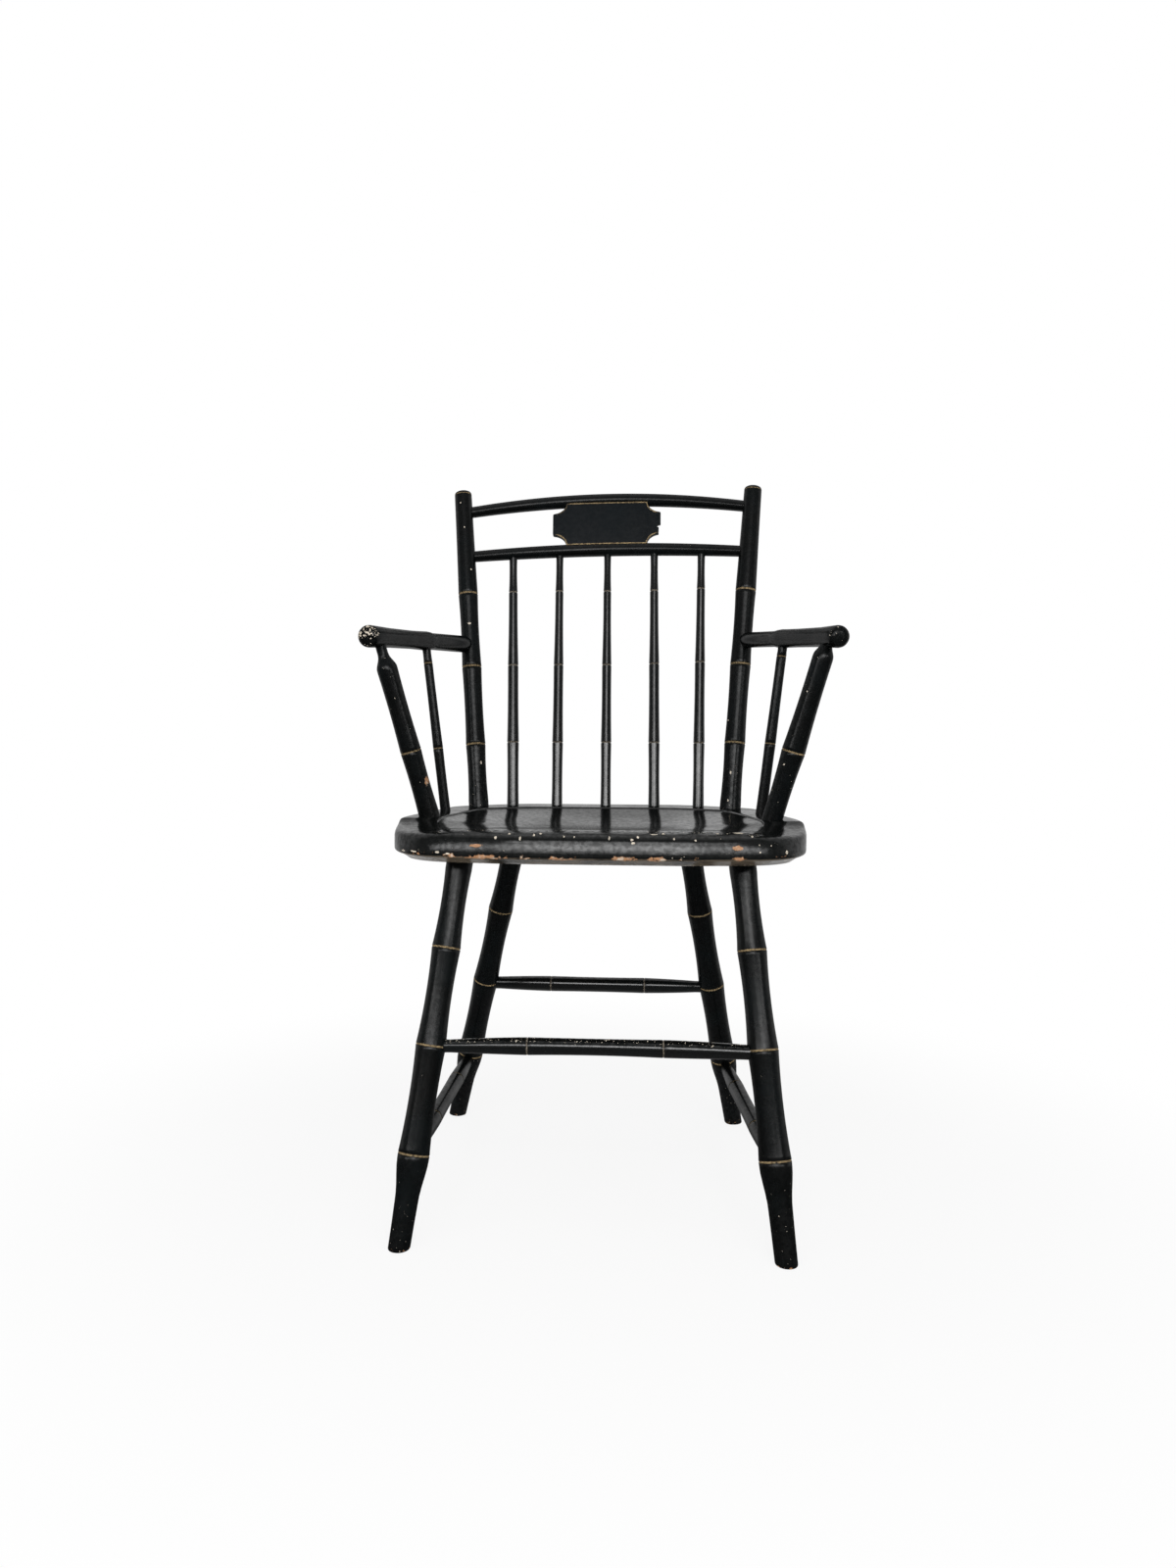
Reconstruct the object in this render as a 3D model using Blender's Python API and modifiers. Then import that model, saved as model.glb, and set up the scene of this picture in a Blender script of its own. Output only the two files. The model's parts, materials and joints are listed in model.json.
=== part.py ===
"""Windsor armchair with bamboo turnings, a saddled plank seat and a tablet between two bent crest rods.

Metres, +Z up, the floor at z = 0. The sitter faces -Y, and left and right are as seen from the front.
Every turned member runs between two points and ends in a round tenon in its neighbour's socket.
"""
import math

import bmesh
import bpy
from mathutils import Matrix, Vector

# Fits
FIT = 0.0003              # glue gap between a tenon and its socket
TENON_COLLAR = 0.006      # straight length of a tenon left outside its socket

# Seat plank
SEAT_HEIGHT = 0.445       # floor to the flat deck round the saddle
SEAT_THICKNESS = 0.040
SEAT_BOTTOM = SEAT_HEIGHT - SEAT_THICKNESS
SEAT_FRONT_WIDTH = 0.438
SEAT_WIDTH = 0.476        # at the widest place, before its corner is eased
SEAT_BACK_WIDTH = 0.402
SEAT_FRONT_Y = -0.195
SEAT_WIDEST_Y = -0.055
SEAT_BACK_Y = 0.199
FRONT_BOW = 0.017         # the middle of the front edge stands this far before its corners
BACK_BOW = 0.059          # and the middle of the back edge this far behind its corners
FRONT_FLAT = 0.180
BACK_FLAT = 0.230
FRONT_CORNER_RADIUS = 0.075
FRONT_EASE_RADIUS = 0.200
WIDEST_RADIUS = 0.250
SIDE_CORNER_RADIUS = 0.055
BACK_CORNER_RADIUS = 0.100
SIDE_BAND = 0.046         # width of the flat deck band at the sides
BACK_BAND = 0.062         # and behind the sitter
SADDLE_STEP = 0.0045      # sharp drop from the band into the saddle
SADDLE_DEPTH = 0.014
DECK_END_Y = -0.062       # here, before the arm posts, the deck band turns down to the saddle rim
DECK_END_RUN = 0.020      # over this length
SHOULDER_DROP = 0.020     # fall of the front shoulders from the end of the band to the front edge
SHOULDER_SLOPE_SHARE = 0.25     # part of that fall which is straight, the rest is rounded
SIDE_UNDERCUT = 0.016
FRONT_UNDERCUT = 0.024
RIDGE_DROP = 0.0040       # the ridge that closes the saddle in front lies this far under the deck
EDGE_SHARES = (            # edge of the plank from below, in shares of its thickness:
    (0.04, 0.78, 0.03, 0.78),  # inset and drop at the sides, then at the front
    (0.00, 0.55, 0.00, 0.64),
    (0.00, 0.20, 0.06, 0.37),
    (0.05, 0.05, 0.24, 0.21),
    (0.15, 0.00, 0.65, 0.10),
)
STEP_RUN = 0.0025         # width of the sharp drop at the inner edge of the band
SADDLE_SHARES = (0.22, 0.48, 0.76)

# Legs: bamboo turnings, raked and splayed
FRONT_SOCKET_LEFT_X = 0.1545  # both front legs lean a little to the left on their way down
FRONT_SOCKET_RIGHT_X = 0.160
FRONT_SOCKET_Y = -0.108
REAR_SOCKET_X = 0.112
REAR_SOCKET_Y = 0.095
FRONT_FOOT_LEFT_X = 0.2045
FRONT_FOOT_RIGHT_X = 0.200
FRONT_FOOT_Y = -0.218
REAR_FOOT_Y = 0.215
REAR_FOOT_LEFT_X = 0.205  # the left rear leg was bored with more splay than the right one
REAR_FOOT_RIGHT_X = 0.183
LEG_SOCKET_DEPTH = 0.022
LEG_TENON_RADIUS = 0.0150
LEG_RING_SHARES = (0.7556, 0.5025, 0.2346)  # heights, as shares of the height of the plank's underside
FRONT_RIGHT_RING_LIFT = 0.0037  # marked by hand, so the rings of this leg
REAR_RING_LIFT = 0.0040   # and of the rear legs lie a little higher
LEG_UPPER_RING_RADIUS = 0.0161
LEG_MIDDLE_RING_RADIUS = 0.0167
LEG_LOWER_RING_RADIUS = 0.0172
LEG_WAIST = 0.0019
ANKLE_DROP = 0.048        # lowest ring down to the slim ankle
ANKLE_SHARES = ((0.35, 0.28), (0.75, 0.85))  # shares of that height and of the swelling
ANKLE_RADIUS = 0.0126
FOOT_RADIUS = 0.0119

# Stretchers: a low box, drilled in at the leg rings
STRETCHER_TENON_RADIUS = 0.0074
STRETCHER_RING_RADIUS = 0.0098
STRETCHER_MID_RADIUS = 0.0094
STRETCHER_PAST_AXIS = 0.004
STRETCHER_RING_SHARE = 0.30
SIDE_STRETCHER_FALL = 0.005  # the side stretchers sink to the back by this much

# Back posts
CHAIR_HEIGHT = 0.877
POST_RISE = CHAIR_HEIGHT - SEAT_HEIGHT
POST_SIDE_INSET = 0.0355
POST_BACK_INSET = 0.0625
POST_TOP_SPLAY = 0.0326   # sideways lean from the deck to the top
POST_TOP_RAKE = 0.080     # backward lean from the deck to the top
POST_SOCKET_DEPTH = 0.026
POST_TENON_RADIUS = 0.0126
POST_TOP_RADIUS = 0.0117
POST_RING_RADIUS = 0.0129
POST_WAIST = 0.0009
POST_CROWN = 0.003        # rounding of the top end

# Bamboo turnings
BACK_RING_SHARES = (0.6782, 0.4444, 0.1991)  # heights in posts and spindles, as shares of the posts' rise
WAIST_SHARES = ((0.25, 0.8), (0.5, 1.0), (0.75, 0.8))  # place between two rings, share of the waist

# Back spindles
SPINDLE_BASE_SPACING = 0.0629
SPINDLE_TOP_SPACING = 0.0650
SPINDLE_BASE_STRAY = (0.0022, -0.0012, 0.0021, 0.0044, 0.0003)  # bored by eye, so each is a little off
SPINDLE_TOP_STRAY = (0.0013, 0.0003, 0.0016, 0.0010, 0.0)
SPINDLE_BACK_INSET = 0.025
SPINDLE_SOCKET_DEPTH = 0.020
SPINDLE_BASE_RADIUS = 0.0070
SPINDLE_TOP_RADIUS = 0.0045
SPINDLE_UPPER_RING_RADIUS = 0.0053
SPINDLE_MIDDLE_RING_RADIUS = 0.0064
SPINDLE_LOWER_RING_RADIUS = 0.0071
SPINDLE_WAIST = 0.0004
SPINDLE_PAST_AXIS = 0.001

# Crest rods
POST_ABOVE_ROD = 0.030    # top of a post over the end of the upper rod
ROD_SPACING = 0.0614      # between the ends of the two rods
UPPER_ROD_HEIGHT = CHAIR_HEIGHT - POST_ABOVE_ROD
LOWER_ROD_HEIGHT = UPPER_ROD_HEIGHT - ROD_SPACING
UPPER_ROD_RISE = 0.0208
LOWER_ROD_RISE = 0.0115
ROD_BOW = 0.035
ROD_TILT = 0.0021         # each rod ends this far higher on the right, and lower on the left
ROD_MID_RADIUS = 0.0088
ROD_END_RADIUS = 0.0072
ROD_PAST_AXIS = 0.004

# Tablet
TABLET_THICKNESS = 0.009
TABLET_PANEL_WIDTH = 0.112
TABLET_WIDTH = 0.149
TABLET_EAR_HEIGHT = 0.030
TABLET_FRONT = 0.0058     # front face before the plane of the two rods
TABLET_LAP = 0.0045       # overlap with the lower half of the upper rod
TABLET_SEAT = 0.0024      # depth of its groove in the lower rod
TABLET_CORNER_STEPS = 5
TABLET_BENDS = 3          # bend lines on each side of the middle

# Arms
ARM_FRONT_X = 0.2655
ARM_FRONT_Y = -0.088
ARM_FRONT_RISE = 0.2085   # deck to the arm's axis at the nose
ARM_BACK_RISE = 0.218     # and at the post
ARM_FRONT_HEIGHT = SEAT_HEIGHT + ARM_FRONT_RISE
ARM_BACK_HEIGHT = SEAT_HEIGHT + ARM_BACK_RISE
ARM_NOSE_RADIUS = 0.0130
ARM_NOSE_SHARES = ((0.0, 0.55), (0.04, 0.86), (0.12, 1.0), (0.27, 0.98))  # shares of length and radius
ARM_NOSE_LENGTH = 0.060
ARM_FRONT_RADIUS = 0.0112
ARM_NODE_RADIUS = 0.0113
ARM_BACK_RADIUS = 0.0101
ARM_TENON_RADIUS = 0.0065
ARM_TENON_ROOT = 0.030    # length of the tenon kept inside the arm
ARM_PAST_AXIS = 0.004
ARM_NODE_BACK = 0.094     # the arm's node lies this far before the post
ARM_NODE_HALF = 0.003
ARM_NODE_EASE = 0.014
ARM_WAIST = 0.0008

# Arm posts and arm spindles
ARM_POST_INSET = 0.0325   # line of the seat's side to the axis
ARM_POST_Y = -0.039
ARM_POST_TOP_Y = -0.065
ARM_POST_SOCKET_DEPTH = 0.026
ARM_POST_BASE_RADIUS = 0.0115
ARM_POST_RING_RADIUS = 0.0126
ARM_POST_SHOULDER_RADIUS = 0.0113
ARM_POST_NECK_RADIUS = 0.0062
ARM_POST_RING_SHARE = 0.379   # height, as a share of the arm's rise
ARM_POST_NECK_DROP = 0.024  # arm axis down to the shoulder of the neck
ARM_POST_SHOULDER_LENGTH = 0.010
ARM_POST_NECK_EASE = 0.003
ARM_SPINDLE_INSET = 0.0205
ARM_SPINDLE_Y = 0.048
ARM_SPINDLE_TOP_Y = 0.0475
ARM_SPINDLE_BASE_RADIUS = 0.0061
ARM_SPINDLE_RING_RADIUS = 0.0060
ARM_SPINDLE_TOP_RADIUS = 0.0051
ARM_SPINDLE_RING_SHARE = 0.398
ARM_UPRIGHT_PAST_AXIS = 0.002

# Pegs that pin the rods and the arms in the posts
PEG_RADIUS = 0.0020
PEG_PROUD = 0.0004
PEG_CHAMFER = 0.0005
PEG_BLIND = 0.006         # end of the peg past the post's axis
PEG_OFFSET = 0.003        # peg to the post's axis, along the tenon that it holds

# Facets
THICK_SIDES = 16
SLIM_SIDES = 12
PEG_SIDES = 10
ROD_SPANS = 20
CORNER_STEPS = 4
SEAT_SPAN = 0.036         # longest straight run between two points of the seat's outline

SIDES = ("left", "right")


# Scene
def clear_scene():
    """Start from an empty file."""
    for item in list(bpy.data.objects):
        bpy.data.objects.remove(item, do_unlink=True)
    for group in list(bpy.data.collections):
        bpy.data.collections.remove(group)


def new_collection(name, parent):
    """Make a collection under another."""
    group = bpy.data.collections.new(name)
    parent.children.link(group)
    return group


clear_scene()
CHAIR = new_collection("windsor_armchair", bpy.context.scene.collection)
CUTTERS = new_collection("cutters", bpy.context.scene.collection)
ROOT = bpy.data.objects.new("chair_origin", None)
CHAIR.objects.link(ROOT)


def paint(name, colour, roughness):
    """Give a piece its own painted finish."""
    material = bpy.data.materials.new(name + "_paint")
    material.use_nodes = True
    shader = material.node_tree.nodes["Principled BSDF"]
    shader.inputs["Base Color"].default_value = (*colour, 1.0)
    shader.inputs["Roughness"].default_value = roughness
    shader.inputs["Metallic"].default_value = 0.0
    return material


def place_part(name, mesh, colour=(0.012, 0.014, 0.016), roughness=0.38):
    """Add a named piece of the chair to the model."""
    piece = bpy.data.objects.new(name, mesh)
    mesh.materials.append(paint(name, colour, roughness))
    CHAIR.objects.link(piece)
    piece.parent = ROOT
    return piece


def cutters_of(host_name):
    """Find or make the collection of shapes that are cut out of one piece."""
    name = "cut_" + host_name
    found = bpy.data.collections.get(name)
    return found if found else new_collection(name, CUTTERS)


def place_cutter(name, mesh, host_names):
    """Add a shape that is cut out of the named pieces."""
    cutter = bpy.data.objects.new(name, mesh)
    for host_name in host_names:
        cutters_of(host_name).objects.link(cutter)
    cutter.parent = ROOT
    cutter.hide_render = True
    cutter.display_type = "WIRE"
    return cutter


def cut(piece):
    """Cut every shape gathered for this piece out of it."""
    modifier = piece.modifiers.new("sockets", "BOOLEAN")
    modifier.operation = "DIFFERENCE"
    modifier.operand_type = "COLLECTION"
    modifier.collection = cutters_of(piece.name)
    modifier.solver = "EXACT"


def combine(piece, other, operation):
    """Join another shape to a piece, or take it away."""
    modifier = piece.modifiers.new(other.name, "BOOLEAN")
    modifier.operation = operation
    modifier.object = other
    modifier.solver = "EXACT"


# Geometry helpers
def side_sign(side):
    """The direction of a side along X."""
    return -1.0 if side == "left" else 1.0


def point_at_height(start, end, height):
    """The point of a straight axis at a height."""
    return start.lerp(end, (height - start.z) / (end.z - start.z))


def beyond(start, end, distance):
    """The end of an axis moved on along it by a distance."""
    return end + (end - start).normalized() * distance


def profile_mesh(name, profile):
    """An open profile at +X, from the top of the axis down the outer side to the bottom of the axis."""
    ordered = sorted(profile)
    points = [(0.0, ordered[-1][0])]
    points += [(radius, distance) for distance, radius in reversed(ordered)]
    points.append((0.0, ordered[0][0]))
    shape = bmesh.new()
    line = [shape.verts.new((radius, 0.0, distance)) for radius, distance in points]
    for upper, lower in zip(line, line[1:]):
        shape.edges.new((upper, lower))
    mesh = bpy.data.meshes.new(name)
    shape.to_mesh(mesh)
    shape.free()
    return mesh


def lathe(item, start, end, sides):
    """Turn a profile about its axis and stand it between two points."""
    screw = item.modifiers.new("lathe", "SCREW")
    screw.axis = "Z"
    screw.angle = math.tau
    screw.steps = sides
    screw.render_steps = sides
    screw.use_merge_vertices = True
    screw.merge_threshold = 0.00001
    item.location = start
    item.rotation_mode = "QUATERNION"
    item.rotation_quaternion = (end - start).to_track_quat("Z", "Y")


def turned_part(name, start, end, profile, sides):
    """A turned piece, its profile given as distances from the start and radii."""
    piece = place_part(name, profile_mesh(name, profile))
    lathe(piece, start, end, sides)
    return piece


def turned_cutter(name, start, end, profile, sides, host_names):
    """A turned shape to cut away."""
    cutter = place_cutter(name, profile_mesh(name, profile), host_names)
    lathe(cutter, start, end, sides)
    return cutter


def socket(name, start, end, span, radius, sides, host_names):
    """The socket of a round tenon on an axis, wider and deeper than the tenon by the fit."""
    low, high = span
    turned_cutter(name, start, end, [(low, radius + FIT), (high, radius + FIT)], sides, host_names)


def height_profile(start, end, stations):
    """Turn stations given by height into distances along an axis."""
    length = (end - start).length
    rise = end.z - start.z
    return [((height - start.z) / rise * length, radius) for height, radius in stations]


def bamboo(ends, rings, waist):
    """Stations of a bamboo turning: swelled at each ring, drawn in by the waist between."""
    nodes = sorted([*ends, *rings])
    stations = [nodes[0]]
    for (low, low_radius), (high, high_radius) in zip(nodes, nodes[1:]):
        for share, depth in WAIST_SHARES:
            radius = low_radius + (high_radius - low_radius) * share - waist * depth
            stations.append((low + (high - low) * share, radius))
        stations.append((high, high_radius))
    return stations


# Seat
def rounded_outline(corners, steps):
    """Points round a closed outline whose corners (x, y, radius) are rounded by arcs."""
    points = []
    count = len(corners)
    for index, (x, y, radius) in enumerate(corners):
        corner = Vector((x, y))
        before = (Vector(corners[index - 1][:2]) - corner).normalized()
        after = (Vector(corners[(index + 1) % count][:2]) - corner).normalized()
        half_angle = before.angle(after) / 2.0
        centre = corner + (before + after).normalized() * radius / math.sin(half_angle)
        reach = radius / math.tan(half_angle)
        first = corner + before * reach - centre
        sweep = first.angle_signed(corner + after * reach - centre)
        for step in range(steps + 1):
            turn = Matrix.Rotation(-sweep * step / steps, 2)
            points.append(centre + turn @ first)
    return points


def fill_gaps(points, longest):
    """Put extra points on the straight runs of an outline."""
    filled = []
    for here, there in zip(points, points[1:] + points[:1]):
        parts = max(1, math.ceil((there - here).length / longest))
        filled += [here.lerp(there, part / parts) for part in range(parts)]
    return filled


def seat_corners():
    """Corners of the plank, anticlockwise from the front."""
    right = [
        (FRONT_FLAT / 2, SEAT_FRONT_Y, FRONT_EASE_RADIUS),
        (SEAT_FRONT_WIDTH / 2, SEAT_FRONT_Y + FRONT_BOW, FRONT_CORNER_RADIUS),
        (SEAT_WIDTH / 2, SEAT_WIDEST_Y, WIDEST_RADIUS),
        (SEAT_BACK_WIDTH / 2, SEAT_BACK_Y - BACK_BOW, SIDE_CORNER_RADIUS),
        (BACK_FLAT / 2, SEAT_BACK_Y, BACK_CORNER_RADIUS),
    ]
    left = [(-x, y, radius) for x, y, radius in reversed(right)]
    return right + left


def side_edge_x(y):
    """Half width of the plank at a depth behind its widest place."""
    back_y = SEAT_BACK_Y - BACK_BOW
    share = (y - SEAT_WIDEST_Y) / (back_y - SEAT_WIDEST_Y)
    return (SEAT_WIDTH + (SEAT_BACK_WIDTH - SEAT_WIDTH) * share) / 2


def back_edge_y(x):
    """Depth of the plank's back edge at a distance from the middle."""
    run = (SEAT_BACK_WIDTH - BACK_FLAT) / 2
    return SEAT_BACK_Y - BACK_BOW * max(0.0, abs(x) - BACK_FLAT / 2) / run


def shoulder_drop(y):
    """How far the top of the plank has fallen before the end of the deck band."""
    share = min(1.0, max(0.0, (DECK_END_Y - y) / (DECK_END_Y - SEAT_FRONT_Y)))
    rounded = 1.0 - math.sqrt(1.0 - share * share)
    return SHOULDER_DROP * (SHOULDER_SLOPE_SHARE * share + (1.0 - SHOULDER_SLOPE_SHARE) * rounded)


def deck_step(y):
    """How far the band has come down to the level of the saddle's rim."""
    return SADDLE_STEP * min(1.0, max(0.0, (DECK_END_Y - y) / DECK_END_RUN))


def points_at_depths(points, depths):
    """The same outline with points of its own where it passes some depths."""
    marked = []
    for here, there in zip(points, points[1:] + points[:1]):
        low, high = sorted((here.y, there.y))
        shares = [(depth - here.y) / (there.y - here.y) for depth in depths if low < depth < high]
        marked += [here, *[here.lerp(there, share) for share in sorted(shares)]]
    return marked


def leg_rings(lift):
    """Heights and radii of a leg's rings, from the top."""
    radii = (LEG_UPPER_RING_RADIUS, LEG_MIDDLE_RING_RADIUS, LEG_LOWER_RING_RADIUS)
    return [(SEAT_BOTTOM * share + lift, radius) for share, radius in zip(LEG_RING_SHARES, radii)]


def back_rings(radii):
    """Heights and radii of the rings of a post or a back spindle, from the top."""
    return [(SEAT_HEIGHT + POST_RISE * share, radius) for share, radius in zip(BACK_RING_SHARES, radii)]


def seat_rings():
    """Rings of the plank from its underside to the rim of the saddle."""
    edge = [tuple(share * SEAT_THICKNESS for share in ring) for ring in EDGE_SHARES]
    underside = (SIDE_UNDERCUT, SEAT_THICKNESS, FRONT_UNDERCUT, SEAT_THICKNESS)
    inner = SIDE_BAND + STEP_RUN
    band = (SIDE_BAND, 0.0, SIDE_BAND, RIDGE_DROP)
    rim = (inner, SADDLE_STEP, inner, max(RIDGE_DROP, SADDLE_STEP))
    return [underside, *edge, band, rim]


def inward_normals(points):
    """Unit vectors pointing into an anticlockwise outline at each of its points."""
    normals = []
    for index, point in enumerate(points):
        run = points[(index + 1) % len(points)] - points[index - 1]
        normals.append(Vector((-run.y, run.x)).normalized())
    return normals


def seat_ring(points, normals, ring):
    """One ring of the plank's surface."""
    side_inset, side_drop, front_inset, front_drop = ring
    places = []
    for point, normal in zip(points, normals):
        facing_front = max(0.0, normal.y) ** 2
        facing_back = max(0.0, -normal.y) ** 2
        inset = side_inset + (front_inset - side_inset) * facing_front
        if side_inset >= SIDE_BAND:
            inset += (BACK_BAND - SIDE_BAND) * facing_back
        flat = point + normal * inset
        fallen = max(side_drop, deck_step(point.y))
        fallen += shoulder_drop(flat.y) * (1.0 - side_drop / SEAT_THICKNESS)
        drop = fallen + (front_drop - fallen) * facing_front
        places.append(Vector((flat.x, flat.y, SEAT_HEIGHT - drop)))
    return places


def build_seat():
    """The saddled plank, lofted from ring to ring, and closed across the saddle and the underside."""
    outline = fill_gaps(rounded_outline(seat_corners(), CORNER_STEPS), SEAT_SPAN)
    outline = points_at_depths(outline, (DECK_END_Y, DECK_END_Y - DECK_END_RUN))
    normals = inward_normals(outline)
    rings = [seat_ring(outline, normals, ring) for ring in seat_rings()]
    middle = Vector((0.0, (SEAT_FRONT_Y + SEAT_BACK_Y) / 2, SEAT_HEIGHT - SADDLE_DEPTH))
    rim = rings[-1]
    for share in SADDLE_SHARES:
        ease = math.sin(share * math.pi / 2)
        level = [place.z + (middle.z - place.z) * ease for place in rim]
        rings.append([Vector((*place.lerp(middle, share).xy, z)) for place, z in zip(rim, level)])

    plank = bmesh.new()
    loops = [[plank.verts.new(place) for place in ring] for ring in rings]
    for lower, upper in zip(loops, loops[1:]):
        for index in range(len(lower)):
            nxt = (index + 1) % len(lower)
            plank.faces.new((lower[index], lower[nxt], upper[nxt], upper[index]))
    plank.faces.new(list(reversed(loops[0])))
    centre = plank.verts.new(middle)
    for index, vertex in enumerate(loops[-1]):
        plank.faces.new((vertex, loops[-1][(index + 1) % len(loops[-1])], centre))
    bmesh.ops.recalc_face_normals(plank, faces=plank.faces)
    mesh = bpy.data.meshes.new("seat")
    plank.to_mesh(mesh)
    plank.free()
    return place_part("seat", mesh, roughness=0.22)


# Axes of the frame
def back_post_axis(sign):
    """Deck to top of a back post."""
    base_y = SEAT_BACK_Y - POST_BACK_INSET
    base = Vector((sign * (side_edge_x(base_y) - POST_SIDE_INSET), base_y, SEAT_HEIGHT))
    lean = Vector((sign * POST_TOP_SPLAY, POST_TOP_RAKE, POST_RISE))
    return base, base + lean


def rod_point(height, rise, share):
    """A point of a crest rod, from -1 at the left post's axis to 1 at the right one's."""
    end = point_at_height(*back_post_axis(1.0), height)
    arch = 1.0 - share * share
    return Vector((end.x * share, end.y + ROD_BOW * arch, height + rise * arch + ROD_TILT * share))


def arm_axis(sign):
    """Nose of an arm to the axis of its post."""
    nose = Vector((sign * ARM_FRONT_X, ARM_FRONT_Y, ARM_FRONT_HEIGHT))
    return nose, point_at_height(*back_post_axis(sign), ARM_BACK_HEIGHT)


def arm_point(sign, y):
    """The point of an arm's axis at a depth."""
    nose, back = arm_axis(sign)
    return nose.lerp(back, (y - nose.y) / (back.y - nose.y))


# Legs and stretchers
LEG_AXES = {}


def build_leg(name, socket_x, socket_y, foot_x, foot_y, lift):
    """A leg from its level foot to its blind socket in the plank."""
    foot = Vector((foot_x, foot_y, 0.0))
    mouth = Vector((socket_x, socket_y, SEAT_BOTTOM))
    top = beyond(foot, mouth, LEG_SOCKET_DEPTH)
    tilt = (mouth - foot).angle(Vector((0.0, 0.0, 1.0)))
    collar = SEAT_BOTTOM - LEG_TENON_RADIUS * math.sin(tilt) - TENON_COLLAR
    rings = leg_rings(lift)
    lowest_ring = rings[-1][0]
    ankle = lowest_ring - ANKLE_DROP
    sole = -2.0 * FOOT_RADIUS * math.tan(tilt)
    upper = bamboo([(collar, LEG_TENON_RADIUS)], rings, LEG_WAIST)
    swelling = LEG_LOWER_RING_RADIUS - ANKLE_RADIUS
    lower = [(sole, FOOT_RADIUS), (ankle, ANKLE_RADIUS)]
    lower += [(ankle + ANKLE_DROP * rise, ANKLE_RADIUS + swelling * grown) for rise, grown in ANKLE_SHARES]
    stations = lower + upper + [(top.z, LEG_TENON_RADIUS)]
    piece = turned_part(name, foot, top, height_profile(foot, top, stations), THICK_SIDES)
    LEG_AXES[name] = (foot, top)
    length = (top - foot).length
    span = ((mouth - foot).length - LEG_SOCKET_DEPTH, length + FIT)
    socket("socket_" + name, foot, top, span, LEG_TENON_RADIUS, THICK_SIDES, ["seat"])
    place_floor(name)
    return piece


def place_floor(host_name):
    """The slab under the floor, which cuts a foot level."""
    slab = bmesh.new()
    bmesh.ops.create_cube(slab, size=1.0)
    bmesh.ops.translate(slab, verts=slab.verts, vec=(0.0, 0.0, -0.5))
    mesh = bpy.data.meshes.new("floor_" + host_name)
    slab.to_mesh(mesh)
    slab.free()
    place_cutter("floor_" + host_name, mesh, [host_name])


def build_stretcher(name, first_leg, second_leg, height, fall):
    """A stretcher from a leg ring to another leg, with two rings of its own."""
    first = point_at_height(*LEG_AXES[first_leg], height)
    second = point_at_height(*LEG_AXES[second_leg], height - fall)
    start = beyond(second, first, STRETCHER_PAST_AXIS)
    end = beyond(first, second, STRETCHER_PAST_AXIS)
    length = (end - start).length
    hidden = LEG_LOWER_RING_RADIUS + STRETCHER_PAST_AXIS + TENON_COLLAR
    rings = [
        (length * STRETCHER_RING_SHARE, STRETCHER_RING_RADIUS),
        (length * (1.0 - STRETCHER_RING_SHARE), STRETCHER_RING_RADIUS),
    ]
    taper = (STRETCHER_RING_RADIUS + STRETCHER_TENON_RADIUS) / 2
    profile = [
        (0.0, STRETCHER_TENON_RADIUS),
        (hidden, STRETCHER_TENON_RADIUS),
        ((hidden + rings[0][0]) / 2, taper),
        *rings,
        (length / 2, STRETCHER_MID_RADIUS),
        ((length - hidden + rings[1][0]) / 2, taper),
        (length - hidden, STRETCHER_TENON_RADIUS),
        (length, STRETCHER_TENON_RADIUS),
    ]
    piece = turned_part(name, start, end, profile, SLIM_SIDES)
    socket(name + "_first", start, end, (-FIT, hidden), STRETCHER_TENON_RADIUS, SLIM_SIDES, [first_leg])
    socket(
        name + "_second", start, end, (length - hidden, length + FIT), STRETCHER_TENON_RADIUS,
        SLIM_SIDES, [second_leg],
    )
    return piece


# Back
def build_back_post(side, sign):
    """A back post, tenoned into the deck, with the sockets of two rods and an arm."""
    name = "back_post_" + side
    base, top = back_post_axis(sign)
    start = beyond(top, base, POST_SOCKET_DEPTH)
    tilt = (top - base).angle(Vector((0.0, 0.0, 1.0)))
    collar = SEAT_HEIGHT + POST_TENON_RADIUS * math.sin(tilt) + TENON_COLLAR
    rings = back_rings([POST_RING_RADIUS] * len(BACK_RING_SHARES))
    crown = CHAIR_HEIGHT - POST_CROWN
    upper = bamboo([(collar, POST_TENON_RADIUS), (crown, POST_TOP_RADIUS)], rings, POST_WAIST)
    stations = [(start.z, POST_TENON_RADIUS), *upper, (CHAIR_HEIGHT, POST_TOP_RADIUS - POST_CROWN)]
    piece = turned_part(name, start, top, height_profile(start, top, stations), THICK_SIDES)
    span = (-FIT, 2.0 * POST_SOCKET_DEPTH)
    socket("socket_" + name, start, top, span, POST_TENON_RADIUS, THICK_SIDES, ["seat"])
    return piece


def mesh_from_curve(curve_item, name):
    """The welded mesh of a curve, which is then removed."""
    bpy.context.view_layer.update()
    graph = bpy.context.evaluated_depsgraph_get()
    mesh = bpy.data.meshes.new_from_object(curve_item.evaluated_get(graph))
    mesh.name = name
    shape = bmesh.new()
    shape.from_mesh(mesh)
    bmesh.ops.remove_doubles(shape, verts=shape.verts, dist=0.000001)
    bmesh.ops.recalc_face_normals(shape, faces=shape.faces)
    shape.to_mesh(mesh)
    shape.free()
    mesh.materials.clear()
    bpy.data.objects.remove(curve_item, do_unlink=True)
    return mesh


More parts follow.
